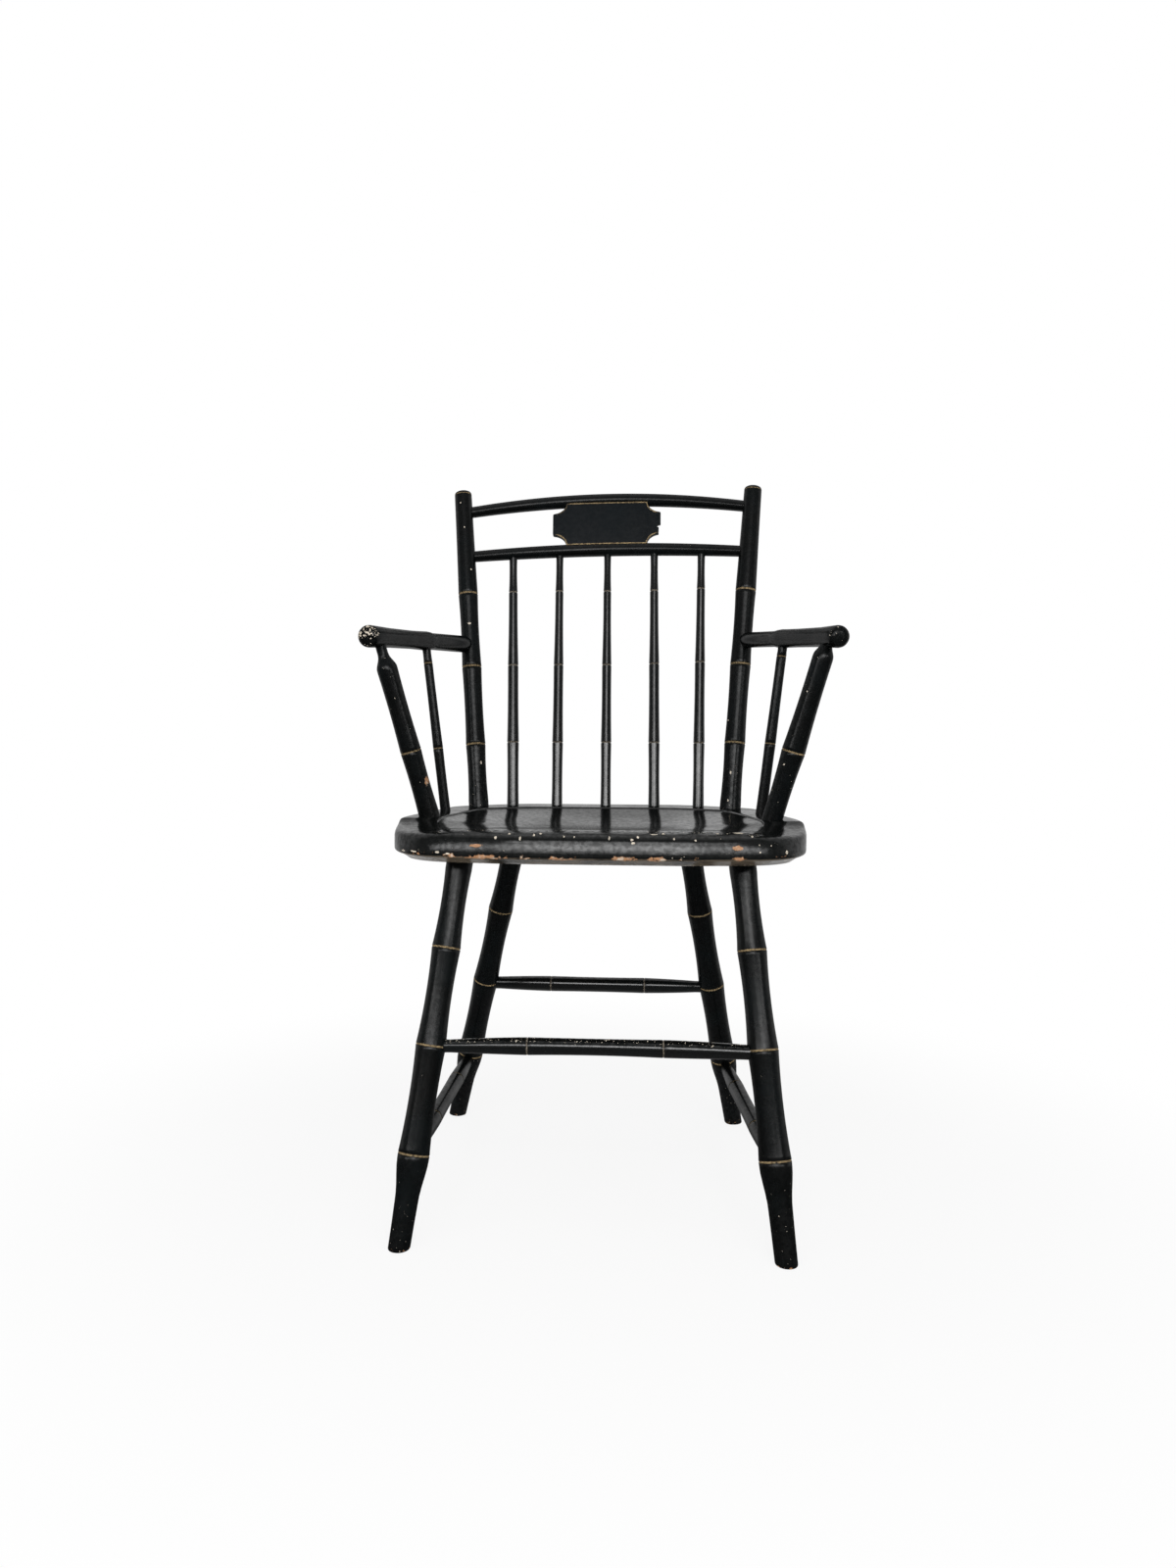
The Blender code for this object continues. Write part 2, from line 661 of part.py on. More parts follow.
def rod_mesh(name, height, rise, grow):
    """A bent rod, thicker in the middle, that runs a little past both posts' axes."""
    half_span = rod_point(height, rise, 1.0).x
    last = 1.0 + (ROD_PAST_AXIS + grow) / half_span
    curve = bpy.data.curves.new(name, "CURVE")
    curve.dimensions = "3D"
    curve.bevel_depth = ROD_MID_RADIUS
    curve.bevel_resolution = 4
    curve.use_fill_caps = True
    spline = curve.splines.new("POLY")
    spline.points.add(ROD_SPANS)
    for index, point in enumerate(spline.points):
        share = last * (2.0 * index / ROD_SPANS - 1.0)
        radius = ROD_MID_RADIUS + (ROD_END_RADIUS - ROD_MID_RADIUS) * share * share + grow
        point.co = (*rod_point(height, rise, share), 1.0)
        point.radius = radius / ROD_MID_RADIUS
    curve_item = bpy.data.objects.new(name, curve)
    CHAIR.objects.link(curve_item)
    return mesh_from_curve(curve_item, name)


def build_rod(name, height, rise):
    """A crest rod and its sockets in both posts."""
    piece = place_part(name, rod_mesh(name, height, rise, 0.0))
    posts = ["back_post_left", "back_post_right"]
    place_cutter("socket_" + name, rod_mesh("socket_" + name, height, rise, FIT), posts)
    return piece


def build_spindle(index):
    """A back spindle between the deck and the lower rod, numbered from the left."""
    place = index - 3
    name = "back_spindle_%d" % index
    base_x = place * SPINDLE_BASE_SPACING + SPINDLE_BASE_STRAY[index - 1]
    base = Vector((base_x, back_edge_y(base_x) - SPINDLE_BACK_INSET, SEAT_HEIGHT))
    half_span = rod_point(LOWER_ROD_HEIGHT, LOWER_ROD_RISE, 1.0).x
    top_x = place * SPINDLE_TOP_SPACING + SPINDLE_TOP_STRAY[index - 1]
    rod_axis = rod_point(LOWER_ROD_HEIGHT, LOWER_ROD_RISE, top_x / half_span)
    start = beyond(rod_axis, base, SPINDLE_SOCKET_DEPTH)
    end = beyond(base, rod_axis, SPINDLE_PAST_AXIS)
    low_collar = SEAT_HEIGHT + TENON_COLLAR
    high_collar = rod_axis.z - ROD_MID_RADIUS - TENON_COLLAR
    rings = back_rings((SPINDLE_UPPER_RING_RADIUS, SPINDLE_MIDDLE_RING_RADIUS, SPINDLE_LOWER_RING_RADIUS))
    ends = [(low_collar, SPINDLE_BASE_RADIUS), (high_collar, SPINDLE_TOP_RADIUS)]
    stations = bamboo(ends, rings, SPINDLE_WAIST)
    stations += [(start.z, SPINDLE_BASE_RADIUS), (end.z, SPINDLE_TOP_RADIUS)]
    piece = turned_part(name, start, end, height_profile(start, end, stations), SLIM_SIDES)
    length = (end - start).length
    low = (-FIT, 2.0 * SPINDLE_SOCKET_DEPTH)
    high = (length - 2.0 * ROD_MID_RADIUS - SPINDLE_PAST_AXIS, length + FIT)
    socket(name + "_foot", start, end, low, SPINDLE_BASE_RADIUS, SLIM_SIDES, ["seat"])
    socket(name + "_head", start, end, high, SPINDLE_TOP_RADIUS, SLIM_SIDES, ["lower_rod"])
    return piece


def tablet_outline(half_height, grow):
    """A board with hollow-cut corners that leave an ear at each end."""
    panel = TABLET_PANEL_WIDTH / 2 + grow
    reach = TABLET_WIDTH / 2 + grow
    ear = TABLET_EAR_HEIGHT / 2 + grow
    points = []
    for x_sign, z_sign, order in ((1, 1, 1), (-1, 1, -1), (-1, -1, 1), (1, -1, -1)):
        corner = []
        for step in range(TABLET_CORNER_STEPS + 1):
            angle = math.pi / 2 * step / TABLET_CORNER_STEPS
            x = reach - (reach - panel) * math.sin(angle)
            z = half_height - (half_height - ear) * math.cos(angle)
            corner.append((x_sign * x, z_sign * z))
        points += corner[::order]
    return points


def tablet_frame():
    """Middle of the tablet, its lean with the rods, and its half height."""
    upper = rod_point(UPPER_ROD_HEIGHT, UPPER_ROD_RISE, 0.0)
    lower = rod_point(LOWER_ROD_HEIGHT, LOWER_ROD_RISE, 0.0)
    upright = (upper - lower).normalized()
    top = upper - upright * (ROD_MID_RADIUS - TABLET_LAP)
    bottom = lower + upright * (ROD_MID_RADIUS - TABLET_SEAT)
    return (top + bottom) / 2, upright, (top - bottom).length / 2


def tablet_mesh(name, grow, forward):
    """The tablet, bent to follow the rods: grown for a groove, and drawn forward for a lap."""
    middle, upright, half_height = tablet_frame()
    curve = bpy.data.curves.new(name, "CURVE")
    curve.dimensions = "2D"
    curve.fill_mode = "BOTH"
    thickness = TABLET_THICKNESS + 2.0 * grow + forward
    curve.extrude = thickness / 2
    outline = tablet_outline(half_height + grow, grow)
    spline = curve.splines.new("POLY")
    spline.points.add(len(outline) - 1)
    for point, (x, z) in zip(spline.points, outline):
        point.co = (x, z, 0.0, 1.0)
    spline.use_cyclic_u = True
    curve_item = bpy.data.objects.new(name, curve)
    CHAIR.objects.link(curve_item)
    mesh = mesh_from_curve(curve_item, name)

    board = bmesh.new()
    board.from_mesh(mesh)
    for step in range(-TABLET_BENDS, TABLET_BENDS + 1):
        cut_x = step * TABLET_PANEL_WIDTH / (2 * TABLET_BENDS + 1)
        everything = [*board.verts, *board.edges, *board.faces]
        bmesh.ops.bisect_plane(board, geom=everything, plane_co=(cut_x, 0, 0), plane_no=(1, 0, 0))
    bmesh.ops.rotate(board, verts=board.verts, matrix=Matrix.Rotation(math.pi / 2, 3, "X"))
    set_back = TABLET_THICKNESS / 2 - TABLET_FRONT - forward / 2
    half_span = rod_point(UPPER_ROD_HEIGHT, UPPER_ROD_RISE, 1.0).x
    droop = (UPPER_ROD_RISE + LOWER_ROD_RISE) / 2
    for vertex in board.verts:
        share = vertex.co.x / half_span
        vertex.co.y += set_back - ROD_BOW * share * share
        vertex.co.z += ROD_TILT * share - droop * share * share
    lean = Vector((0.0, 0.0, 1.0)).rotation_difference(upright).to_matrix()
    bmesh.ops.rotate(board, verts=board.verts, matrix=lean)
    bmesh.ops.translate(board, verts=board.verts, vec=middle)
    bmesh.ops.recalc_face_normals(board, faces=board.faces)
    board.to_mesh(mesh)
    board.free()
    return mesh


def build_tablet():
    """The tablet, lapped over the upper rod and grooved into the lower one."""
    lap = 2.0 * ROD_MID_RADIUS
    piece = place_part("tablet", tablet_mesh("tablet", 0.0, 0.0))
    place_cutter("tablet_lap", tablet_mesh("tablet_lap", FIT, lap), ["upper_rod"])
    place_cutter("tablet_groove", tablet_mesh("tablet_groove", FIT, 0.0), ["lower_rod"])
    return piece


# Arms
def build_arm(side, sign):
    """An arm: a turned rail with a rounded nose, scribed round its post and tenoned into it."""
    name = "arm_" + side
    post_name = "back_post_" + side
    nose, back = arm_axis(sign)
    length = (back - nose).length
    node = length - ARM_NODE_BACK
    profile = [(ARM_NOSE_LENGTH * along, ARM_NOSE_RADIUS * share) for along, share in ARM_NOSE_SHARES]
    profile += [
        (ARM_NOSE_LENGTH, ARM_FRONT_RADIUS),
        (node - ARM_NODE_EASE, ARM_FRONT_RADIUS - ARM_WAIST),
        (node - ARM_NODE_HALF, ARM_NODE_RADIUS),
        (node + ARM_NODE_HALF, ARM_NODE_RADIUS),
        (node + ARM_NODE_EASE, ARM_BACK_RADIUS),
        (length, ARM_BACK_RADIUS),
    ]
    piece = turned_part(name, nose, back, profile, THICK_SIDES)

    base, top = back_post_axis(sign)
    post_length = (top - base).length
    sleeve = [(0.0, POST_RING_RADIUS + FIT), (post_length, POST_RING_RADIUS + FIT)]
    scribe = turned_cutter("scribe_" + side, base, top, sleeve, THICK_SIDES, ["arm_shaping"])
    combine(piece, scribe, "DIFFERENCE")

    end = length + ARM_PAST_AXIS
    tenon_profile = [(length - ARM_TENON_ROOT, ARM_TENON_RADIUS), (end, ARM_TENON_RADIUS)]
    tenon = turned_cutter("tenon_" + side, nose, back, tenon_profile, SLIM_SIDES, ["arm_shaping"])
    combine(piece, tenon, "UNION")
    span = (length - ARM_TENON_ROOT, end + FIT)
    socket("socket_" + name, nose, back, span, ARM_TENON_RADIUS, SLIM_SIDES, [post_name])
    return piece


def build_arm_post(side, sign):
    """The stout turning under the front of an arm, with a ring, a shoulder and a slim neck."""
    name = "arm_post_" + side
    arm_name = "arm_" + side
    base = Vector((sign * (side_edge_x(ARM_POST_Y) - ARM_POST_INSET), ARM_POST_Y, SEAT_HEIGHT))
    arm = arm_point(sign, ARM_POST_TOP_Y)
    start = beyond(arm, base, ARM_POST_SOCKET_DEPTH)
    end = beyond(base, arm, ARM_UPRIGHT_PAST_AXIS)
    tilt = (arm - base).angle(Vector((0.0, 0.0, 1.0)))
    collar = SEAT_HEIGHT + ARM_POST_BASE_RADIUS * math.sin(tilt) + TENON_COLLAR
    shoulder = arm.z - ARM_POST_NECK_DROP
    stations = bamboo(
        [(collar, ARM_POST_BASE_RADIUS), (shoulder - ARM_POST_SHOULDER_LENGTH, ARM_POST_SHOULDER_RADIUS)],
        [(SEAT_HEIGHT + ARM_FRONT_RISE * ARM_POST_RING_SHARE, ARM_POST_RING_RADIUS)],
        POST_WAIST,
    )
    stations += [
        (start.z, ARM_POST_BASE_RADIUS),
        (shoulder - ARM_POST_NECK_EASE, (ARM_POST_SHOULDER_RADIUS * 2.0 + ARM_POST_NECK_RADIUS) / 3.0),
        (shoulder + ARM_POST_NECK_EASE, ARM_POST_NECK_RADIUS),
        (end.z, ARM_POST_NECK_RADIUS),
    ]
    piece = turned_part(name, start, end, height_profile(start, end, stations), THICK_SIDES)
    length = (end - start).length
    low = (-FIT, 2.0 * ARM_POST_SOCKET_DEPTH)
    high = (length - 2.0 * ARM_FRONT_RADIUS, length + FIT)
    socket(name + "_foot", start, end, low, ARM_POST_BASE_RADIUS, THICK_SIDES, ["seat"])
    socket(name + "_head", start, end, high, ARM_POST_NECK_RADIUS, THICK_SIDES, [arm_name])
    return piece


def build_arm_spindle(side, sign):
    """The slim spindle under the middle of an arm."""
    name = "arm_spindle_" + side
    arm_name = "arm_" + side
    base_x = side_edge_x(ARM_SPINDLE_Y) - ARM_SPINDLE_INSET
    base = Vector((sign * base_x, ARM_SPINDLE_Y, SEAT_HEIGHT))
    arm = arm_point(sign, ARM_SPINDLE_TOP_Y)
    start = beyond(arm, base, SPINDLE_SOCKET_DEPTH)
    end = beyond(base, arm, ARM_UPRIGHT_PAST_AXIS)
    low_collar = SEAT_HEIGHT + TENON_COLLAR
    high_collar = arm.z - ARM_FRONT_RADIUS - TENON_COLLAR
    ends = [(low_collar, ARM_SPINDLE_BASE_RADIUS), (high_collar, ARM_SPINDLE_TOP_RADIUS)]
    ring = (SEAT_HEIGHT + ARM_FRONT_RISE * ARM_SPINDLE_RING_SHARE, ARM_SPINDLE_RING_RADIUS)
    stations = bamboo(ends, [ring], SPINDLE_WAIST)
    stations += [(start.z, ARM_SPINDLE_BASE_RADIUS), (end.z, ARM_SPINDLE_TOP_RADIUS)]
    piece = turned_part(name, start, end, height_profile(start, end, stations), SLIM_SIDES)
    length = (end - start).length
    low = (-FIT, 2.0 * SPINDLE_SOCKET_DEPTH)
    high = (length - 2.0 * ARM_FRONT_RADIUS, length + FIT)
    socket(name + "_foot", start, end, low, ARM_SPINDLE_BASE_RADIUS, SLIM_SIDES, ["seat"])
    socket(name + "_head", start, end, high, ARM_SPINDLE_TOP_RADIUS, SLIM_SIDES, [arm_name])
    return piece


# Pegs
def build_peg(name, sign, height, tenon_way, driven_from, held, holder):
    """A peg through a tenon, driven into the post from one side and stopped short of the other."""
    base, top = back_post_axis(sign)
    axis = (top - base).normalized()
    centre = point_at_height(base, top, height) + tenon_way.normalized() * PEG_OFFSET
    way = (driven_from - axis * driven_from.dot(axis)).normalized()
    start = centre - way * PEG_BLIND
    end = centre + way * (POST_RING_RADIUS + PEG_PROUD)
    length = (end - start).length
    profile = [(0.0, PEG_RADIUS), (length - PEG_CHAMFER, PEG_RADIUS), (length, PEG_RADIUS - PEG_CHAMFER)]
    piece = turned_part(name, start, end, profile, PEG_SIDES)
    span = (-FIT, length + POST_RING_RADIUS)
    socket("hole_" + name, start, end, span, PEG_RADIUS, PEG_SIDES, [held, holder])
    return piece


def build_pegs(side, sign):
    """Two pegs from behind for the rods, and one from outside for the arm."""
    post_name = "back_post_" + side
    inward = Vector((-sign, 0.0, 0.0))
    behind = Vector((0.0, 1.0, 0.0))
    outside = Vector((sign, 0.0, 0.0))
    nose, back = arm_axis(sign)
    for rod_name, height in (("upper_rod", UPPER_ROD_HEIGHT), ("lower_rod", LOWER_ROD_HEIGHT)):
        rod_end = height + sign * ROD_TILT
        build_peg(rod_name + "_peg_" + side, sign, rod_end, inward, behind, rod_name, post_name)
    build_peg("arm_peg_" + side, sign, ARM_BACK_HEIGHT, nose - back, outside, "arm_" + side, post_name)


def centre_over_origin():
    """Move the chair so that the origin lies under the middle of its box."""
    bpy.context.view_layer.update()
    graph = bpy.context.evaluated_depsgraph_get()
    corners = []
    for piece in CHAIR.objects:
        if piece.type == "MESH":
            shape = piece.evaluated_get(graph)
            corners += [shape.matrix_world @ Vector(corner) for corner in shape.bound_box]
    for axis in (0, 1):
        values = [corner[axis] for corner in corners]
        ROOT.location[axis] = -(min(values) + max(values)) / 2


# Assembly
def build_chair():
    """Make every piece, then cut the sockets."""
    hosts = [build_seat()]
    for side in SIDES:
        sign = side_sign(side)
        left = side == "left"
        front_x = FRONT_SOCKET_LEFT_X if left else FRONT_SOCKET_RIGHT_X
        front_foot_x = FRONT_FOOT_LEFT_X if left else FRONT_FOOT_RIGHT_X
        rear_foot_x = REAR_FOOT_LEFT_X if left else REAR_FOOT_RIGHT_X
        hosts.append(build_leg(
            "leg_front_" + side, sign * front_x, FRONT_SOCKET_Y, sign * front_foot_x, FRONT_FOOT_Y,
            0.0 if left else FRONT_RIGHT_RING_LIFT,
        ))
        hosts.append(build_leg(
            "leg_rear_" + side, sign * REAR_SOCKET_X, REAR_SOCKET_Y, sign * rear_foot_x, REAR_FOOT_Y,
            REAR_RING_LIFT,
        ))
    middle_ring, low_ring = [height for height, radius in leg_rings(0.0)[1:]]
    front_legs = ("leg_front_left", "leg_front_right")
    build_stretcher("stretcher_front", *front_legs, middle_ring, -FRONT_RIGHT_RING_LIFT)
    build_stretcher("stretcher_rear", "leg_rear_left", "leg_rear_right", middle_ring, 0.0)
    for side in SIDES:
        legs = ("leg_front_" + side, "leg_rear_" + side)
        build_stretcher("stretcher_" + side, *legs, low_ring, SIDE_STRETCHER_FALL)
    for side in SIDES:
        sign = side_sign(side)
        hosts.append(build_back_post(side, sign))
    hosts.append(build_rod("upper_rod", UPPER_ROD_HEIGHT, UPPER_ROD_RISE))
    hosts.append(build_rod("lower_rod", LOWER_ROD_HEIGHT, LOWER_ROD_RISE))
    for index in range(1, 6):
        build_spindle(index)
    build_tablet()
    for side in SIDES:
        sign = side_sign(side)
        hosts.append(build_arm(side, sign))
        build_arm_post(side, sign)
        build_arm_spindle(side, sign)
        build_pegs(side, sign)
    for host in hosts:
        cut(host)
    centre_over_origin()


build_chair()
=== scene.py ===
# %% [markdown]
# # A Windsor armchair in old black paint
# The chair is a plank seat with everything else plugged into it: legs and stretchers below, posts,
# spindles, crest rods and arms above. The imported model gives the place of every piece. It has few
# facets, so each piece is made again here with a finer surface, in the same place, and painted.

import json
import math

import bmesh
import bpy
from mathutils import Matrix, Vector

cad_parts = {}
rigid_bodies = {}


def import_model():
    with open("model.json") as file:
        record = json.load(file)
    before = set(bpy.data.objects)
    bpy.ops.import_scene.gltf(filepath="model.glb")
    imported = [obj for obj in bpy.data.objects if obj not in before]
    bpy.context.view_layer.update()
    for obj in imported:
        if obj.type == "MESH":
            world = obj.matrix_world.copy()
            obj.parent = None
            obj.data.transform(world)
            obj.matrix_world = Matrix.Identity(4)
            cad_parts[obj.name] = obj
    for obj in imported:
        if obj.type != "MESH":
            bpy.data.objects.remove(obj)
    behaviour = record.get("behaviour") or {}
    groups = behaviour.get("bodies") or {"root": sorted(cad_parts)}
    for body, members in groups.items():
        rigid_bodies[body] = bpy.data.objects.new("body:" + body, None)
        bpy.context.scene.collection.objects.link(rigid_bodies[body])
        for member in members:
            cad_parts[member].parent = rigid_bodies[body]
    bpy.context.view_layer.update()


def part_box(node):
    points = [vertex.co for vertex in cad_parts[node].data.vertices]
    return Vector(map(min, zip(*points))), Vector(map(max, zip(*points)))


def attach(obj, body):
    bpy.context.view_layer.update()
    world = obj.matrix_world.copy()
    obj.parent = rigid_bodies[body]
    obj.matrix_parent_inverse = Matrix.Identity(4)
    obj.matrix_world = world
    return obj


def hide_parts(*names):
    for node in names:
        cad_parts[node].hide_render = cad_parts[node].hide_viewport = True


for leftover in list(bpy.data.objects):
    bpy.data.objects.remove(leftover, do_unlink=True)
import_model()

# %% [markdown]
# ## Where things are
# Measures are in metres, and the longer tables in millimetres. The chair was drawn with the arm posts
# near y = 0 and then centred over the origin, so one shift in depth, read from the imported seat, carries
# every drawn place into the frame.

# %% Places and small helpers
SEAT_FRONT, SEAT_BACK = -0.195, 0.199
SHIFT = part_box("seat")[0].y - SEAT_FRONT
UNDERSIDE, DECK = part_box("seat")[0].z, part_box("seat")[1].z
SIDES = {"left": -1, "right": 1}


def spot(x, y, z):
    """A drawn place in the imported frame."""
    return Vector((x, y + SHIFT, z))


def at_height(start, end, height):
    """The point of a straight axis at a height."""
    return start.lerp(end, (height - start.z) / (end.z - start.z))


def past(start, end, distance):
    """The end of an axis, moved on along it."""
    return end + (end - start).normalized() * distance


def ease(low, high, value):
    """Rise smoothly from 0 to 1 between two values."""
    share = min(1.0, max(0.0, (value - low) / (high - low)))
    return share * share * (3.0 - 2.0 * share)


print("depth shift %.5f, deck %.3f, underside %.3f" % (SHIFT, DECK, UNDERSIDE))

# %% [markdown]
# ## Shader helpers
# A painted surface needs many small nodes. These helpers add one node each, so that the recipes below
# read like a list of layers. Sizes in a texture's scale are features per metre.

# %% Node helpers
def add(tree, kind, inputs=None, **settings):
    """Add a node, set it up and join or fill its inputs."""
    node = tree.nodes.new(kind)
    for key, value in settings.items():
        setattr(node, key, value)
    for key, value in (inputs or {}).items():
        if isinstance(value, bpy.types.NodeSocket):
            tree.links.new(value, node.inputs[key])
        else:
            node.inputs[key].default_value = value
    return node


def calc(tree, operation, first, second=0.0):
    """One sum of two numbers."""
    return add(tree, "ShaderNodeMath", {0: first, 1: second}, operation=operation).outputs[0]


def times(tree, first, second):
    """Two numbers multiplied."""
    return calc(tree, "MULTIPLY", first, second)


def band(tree, value, low, high, bottom=0.0, top=1.0):
    """Carry a value from one range to another, smoothly."""
    inputs = {"Value": value, "From Min": low, "From Max": high, "To Min": bottom, "To Max": top}
    return add(tree, "ShaderNodeMapRange", inputs, interpolation_type="SMOOTHSTEP").outputs[0]


def blend(tree, factor, first, second):
    """Lay a second colour over a first one."""
    inputs = {0: factor, 6: first, 7: second}
    return add(tree, "ShaderNodeMix", inputs, data_type="RGBA").outputs[2]


def noise(tree, vector, scale, detail=3.0, roughness=0.5):
    """Soft random spots."""
    inputs = {"Vector": vector, "Scale": scale, "Detail": detail, "Roughness": roughness}
    return add(tree, "ShaderNodeTexNoise", inputs).outputs["Fac"]


def stretch(tree, vector, scale):
    """Stretch a pattern along an axis."""
    return add(tree, "ShaderNodeMapping", {"Vector": vector, "Scale": scale}).outputs["Vector"]


def painted(tree, name, socket="Fac"):
    """A value that was written on the points of the piece, or nothing where it wasn't."""
    return add(tree, "ShaderNodeAttribute", attribute_name=name).outputs[socket]


print("node helpers ready")

# %% [markdown]
# ## The black paint
# Several coats of black, brushed along the wood and varnished, with thin gold lines in the scored rings.
# The varnish is a clear coat over a dull black, which keeps the edges of the turnings dark and mirrors the
# room at a low angle. Rubbed paint has gone to a pale ground in flecks and to the wood in patches, and the
# sawn underside of the seat is nearly raw. So the points of a piece carry values: grain (a place along and
# across the wood), gold, fleck, wear and raw. Marks that catch the eye are placed one by one, as small
# ellipsoids with ragged edges.

# %% Colours and pattern sizes of the paint
GOLD_LINES = (0.12, 0.088, 0.05, 1.0), (0.3, 0.222, 0.12, 1.0)
PALE_LINES = (0.11, 0.092, 0.07, 1.0), (0.3, 0.26, 0.205, 1.0)
STROKE_INK = (0.012, 0.014, 0.015, 1.0)
BARE_WOOD = (0.36, 0.188, 0.098, 1.0)
PALE_GROUND = (0.56, 0.5, 0.41, 1.0)
RAW_WOOD = (0.105, 0.085, 0.062, 1.0)
STROKES, STROKE_RUN = 1100.0, (1.0, 1.0, 0.05)
PATCHES, PATCH_RUN = 230.0, (0.55, 1.0, 1.0)
CLOUDS, FLECKS, DULL_SPOTS, WAVES = 17.0, 430.0, 190.0, 70.0
LINE_SPOTS, LINE_GAPS, WOOD_SPOTS, RAGGED_EDGE = 420.0, 160.0, 260.0, 420.0


def chipped(tree, place, chips, chip):
    """Add some placed chips with ragged edges to a chip mask."""
    ragged = times(tree, noise(tree, place, RAGGED_EDGE), 1.2)
    for x, y, z, *reach in chips:
        off = place
        for operation, measure in (("SUBTRACT", spot(x, y, z)), ("DIVIDE", reach)):
            off = add(tree, "ShaderNodeVectorMath", {0: off, 1: measure}, operation=operation).outputs[0]
        away = add(tree, "ShaderNodeVectorMath", {0: off}, operation="LENGTH").outputs["Value"]
        chip = calc(tree, "MAXIMUM", chip, band(tree, calc(tree, "ADD", away, ragged), 1.65, 1.5))
    return chip


print("a fleck is about %.1f mm wide" % (1000.0 / FLECKS))

# %% Black paint
def black_paint(name, inks, varnish, dullness, waves=1.0, chips=(), nicks=(), lines=GOLD_LINES):
    """Brushed and varnished black paint with gold lines, worn patches and flecks, some of them placed."""
    material = bpy.data.materials.new(name)
    material.use_nodes = True
    tree = material.node_tree
    shader = tree.nodes["Principled BSDF"]
    place = add(tree, "ShaderNodeTexCoord").outputs["Object"]
    grain = painted(tree, "grain", "Vector")
    flecked = painted(tree, "fleck")

    # Two blacks in clouds, brush strokes, and wood where the paint is thin
    strokes = noise(tree, stretch(tree, grain, STROKE_RUN), STROKES)
    clouds = noise(tree, place, CLOUDS, 4.0, 0.6)
    coat = blend(tree, band(tree, clouds, 0.38, 0.72), *inks)
    coat = blend(tree, times(tree, band(tree, strokes, 0.55, 0.8), 0.25), coat, STROKE_INK)
    raw = times(tree, painted(tree, "raw"), band(tree, clouds, 0.3, 0.55))
    coat = blend(tree, raw, coat, RAW_WOOD)

    # Gold lines with gaps
    line = blend(tree, band(tree, noise(tree, grain, LINE_SPOTS), 0.36, 0.62), *lines)
    lined = times(tree, painted(tree, "gold"), band(tree, noise(tree, place, LINE_GAPS), 0.2, 0.32))
    coat = blend(tree, lined, coat, line)

    # Patches down to the wood, flecks down to the ground
    patch = noise(tree, stretch(tree, place, PATCH_RUN), PATCHES, 5.0, 0.68)
    patch = calc(tree, "ADD", patch, times(tree, painted(tree, "wear"), 0.5))
    patch = chipped(tree, place, chips, band(tree, patch, 0.8, 0.825))
    fleck = calc(tree, "ADD", noise(tree, place, FLECKS, 2.5), times(tree, flecked, 0.25))
    fleck = chipped(tree, place, nicks, band(tree, fleck, 0.855, 0.875))
    wood = blend(tree, band(tree, noise(tree, place, WOOD_SPOTS), 0.5, 0.78), BARE_WOOD, PALE_GROUND)
    coat = blend(tree, fleck, blend(tree, patch, coat, wood), PALE_GROUND)
    tree.links.new(coat, shader.inputs["Base Color"])

    # Varnish, thinner on lines, bare places and rubbed spots
    bare = calc(tree, "MAXIMUM", patch, fleck)
    kept = calc(tree, "SUBTRACT", 1.0, times(tree, calc(tree, "MAXIMUM", bare, lined), 0.75))
    dull = times(tree, band(tree, noise(tree, place, DULL_SPOTS, 4.0, 0.6), 0.6, 0.38), flecked)
    kept = times(tree, kept, calc(tree, "SUBTRACT", 1.0, dull))
    gloss = times(tree, band(tree, clouds, 0.3, 0.75, 1.12 * varnish, 0.8 * varnish), kept)
    tree.links.new(gloss, shader.inputs["Coat Weight"])
    shader.inputs["Coat Roughness"].default_value = dullness
    shader.inputs["Specular IOR Level"].default_value = 0.0
    tree.links.new(band(tree, clouds, 0.3, 0.75, 0.42, 0.6), shader.inputs["Roughness"])

    # Brush marks, sunk bare places and slow waves in the surface
    relief = calc(tree, "SUBTRACT", times(tree, strokes, 0.05), times(tree, bare, 0.8))
    relief = calc(tree, "ADD", relief, times(tree, noise(tree, place, WAVES), waves))
    bump = add(tree, "ShaderNodeBump", {"Strength": 0.15, "Distance": 0.0005, "Height": relief})
    for layer in ("Normal", "Coat Normal"):
        tree.links.new(bump.outputs["Normal"], shader.inputs[layer])
    return material


# %% Marks and paints
def metres(*rows):
    """Rows of millimetres, in metres."""
    return [tuple(number / 1000.0 for number in row) for row in rows]


# Each mark is a place x, y, z and half its width, depth and height
POST_NICKS = metres(
    (-183.5, 170.4, 690.9, 2.1, 6, 1.3), (-200.1, 202, 858.6, 0.9, 4, 1.2), (-193.7, 195.3, 824.1, 0.9, 4, 1.2),
    (-183, 186.7, 765.5, 0.9, 4, 1.2), (-163.3, 137, 503.3, 1, 4, 2.2), (166, 133.2, 492.3, 1.1, 4, 2.4),
    (162.4, 126.8, 456.2, 1, 4, 1.4), (163.6, 152.4, 560.3, 0.8, 4, 1), (234.6, -67.1, 593, 0.9, 6, 2),
    (210.9, -55.9, 509.5, 0.9, 6, 1),
)
POST_CHIPS = metres(
    (-204, -45, 487.1, 2.4, 8, 6),
)
ROLL_CHIPS = metres(
    (-126.6, -190, 426.3, 6.6, 20, 1.7), (148.2, -190, 426.4, 5.2, 20, 2.7),
)
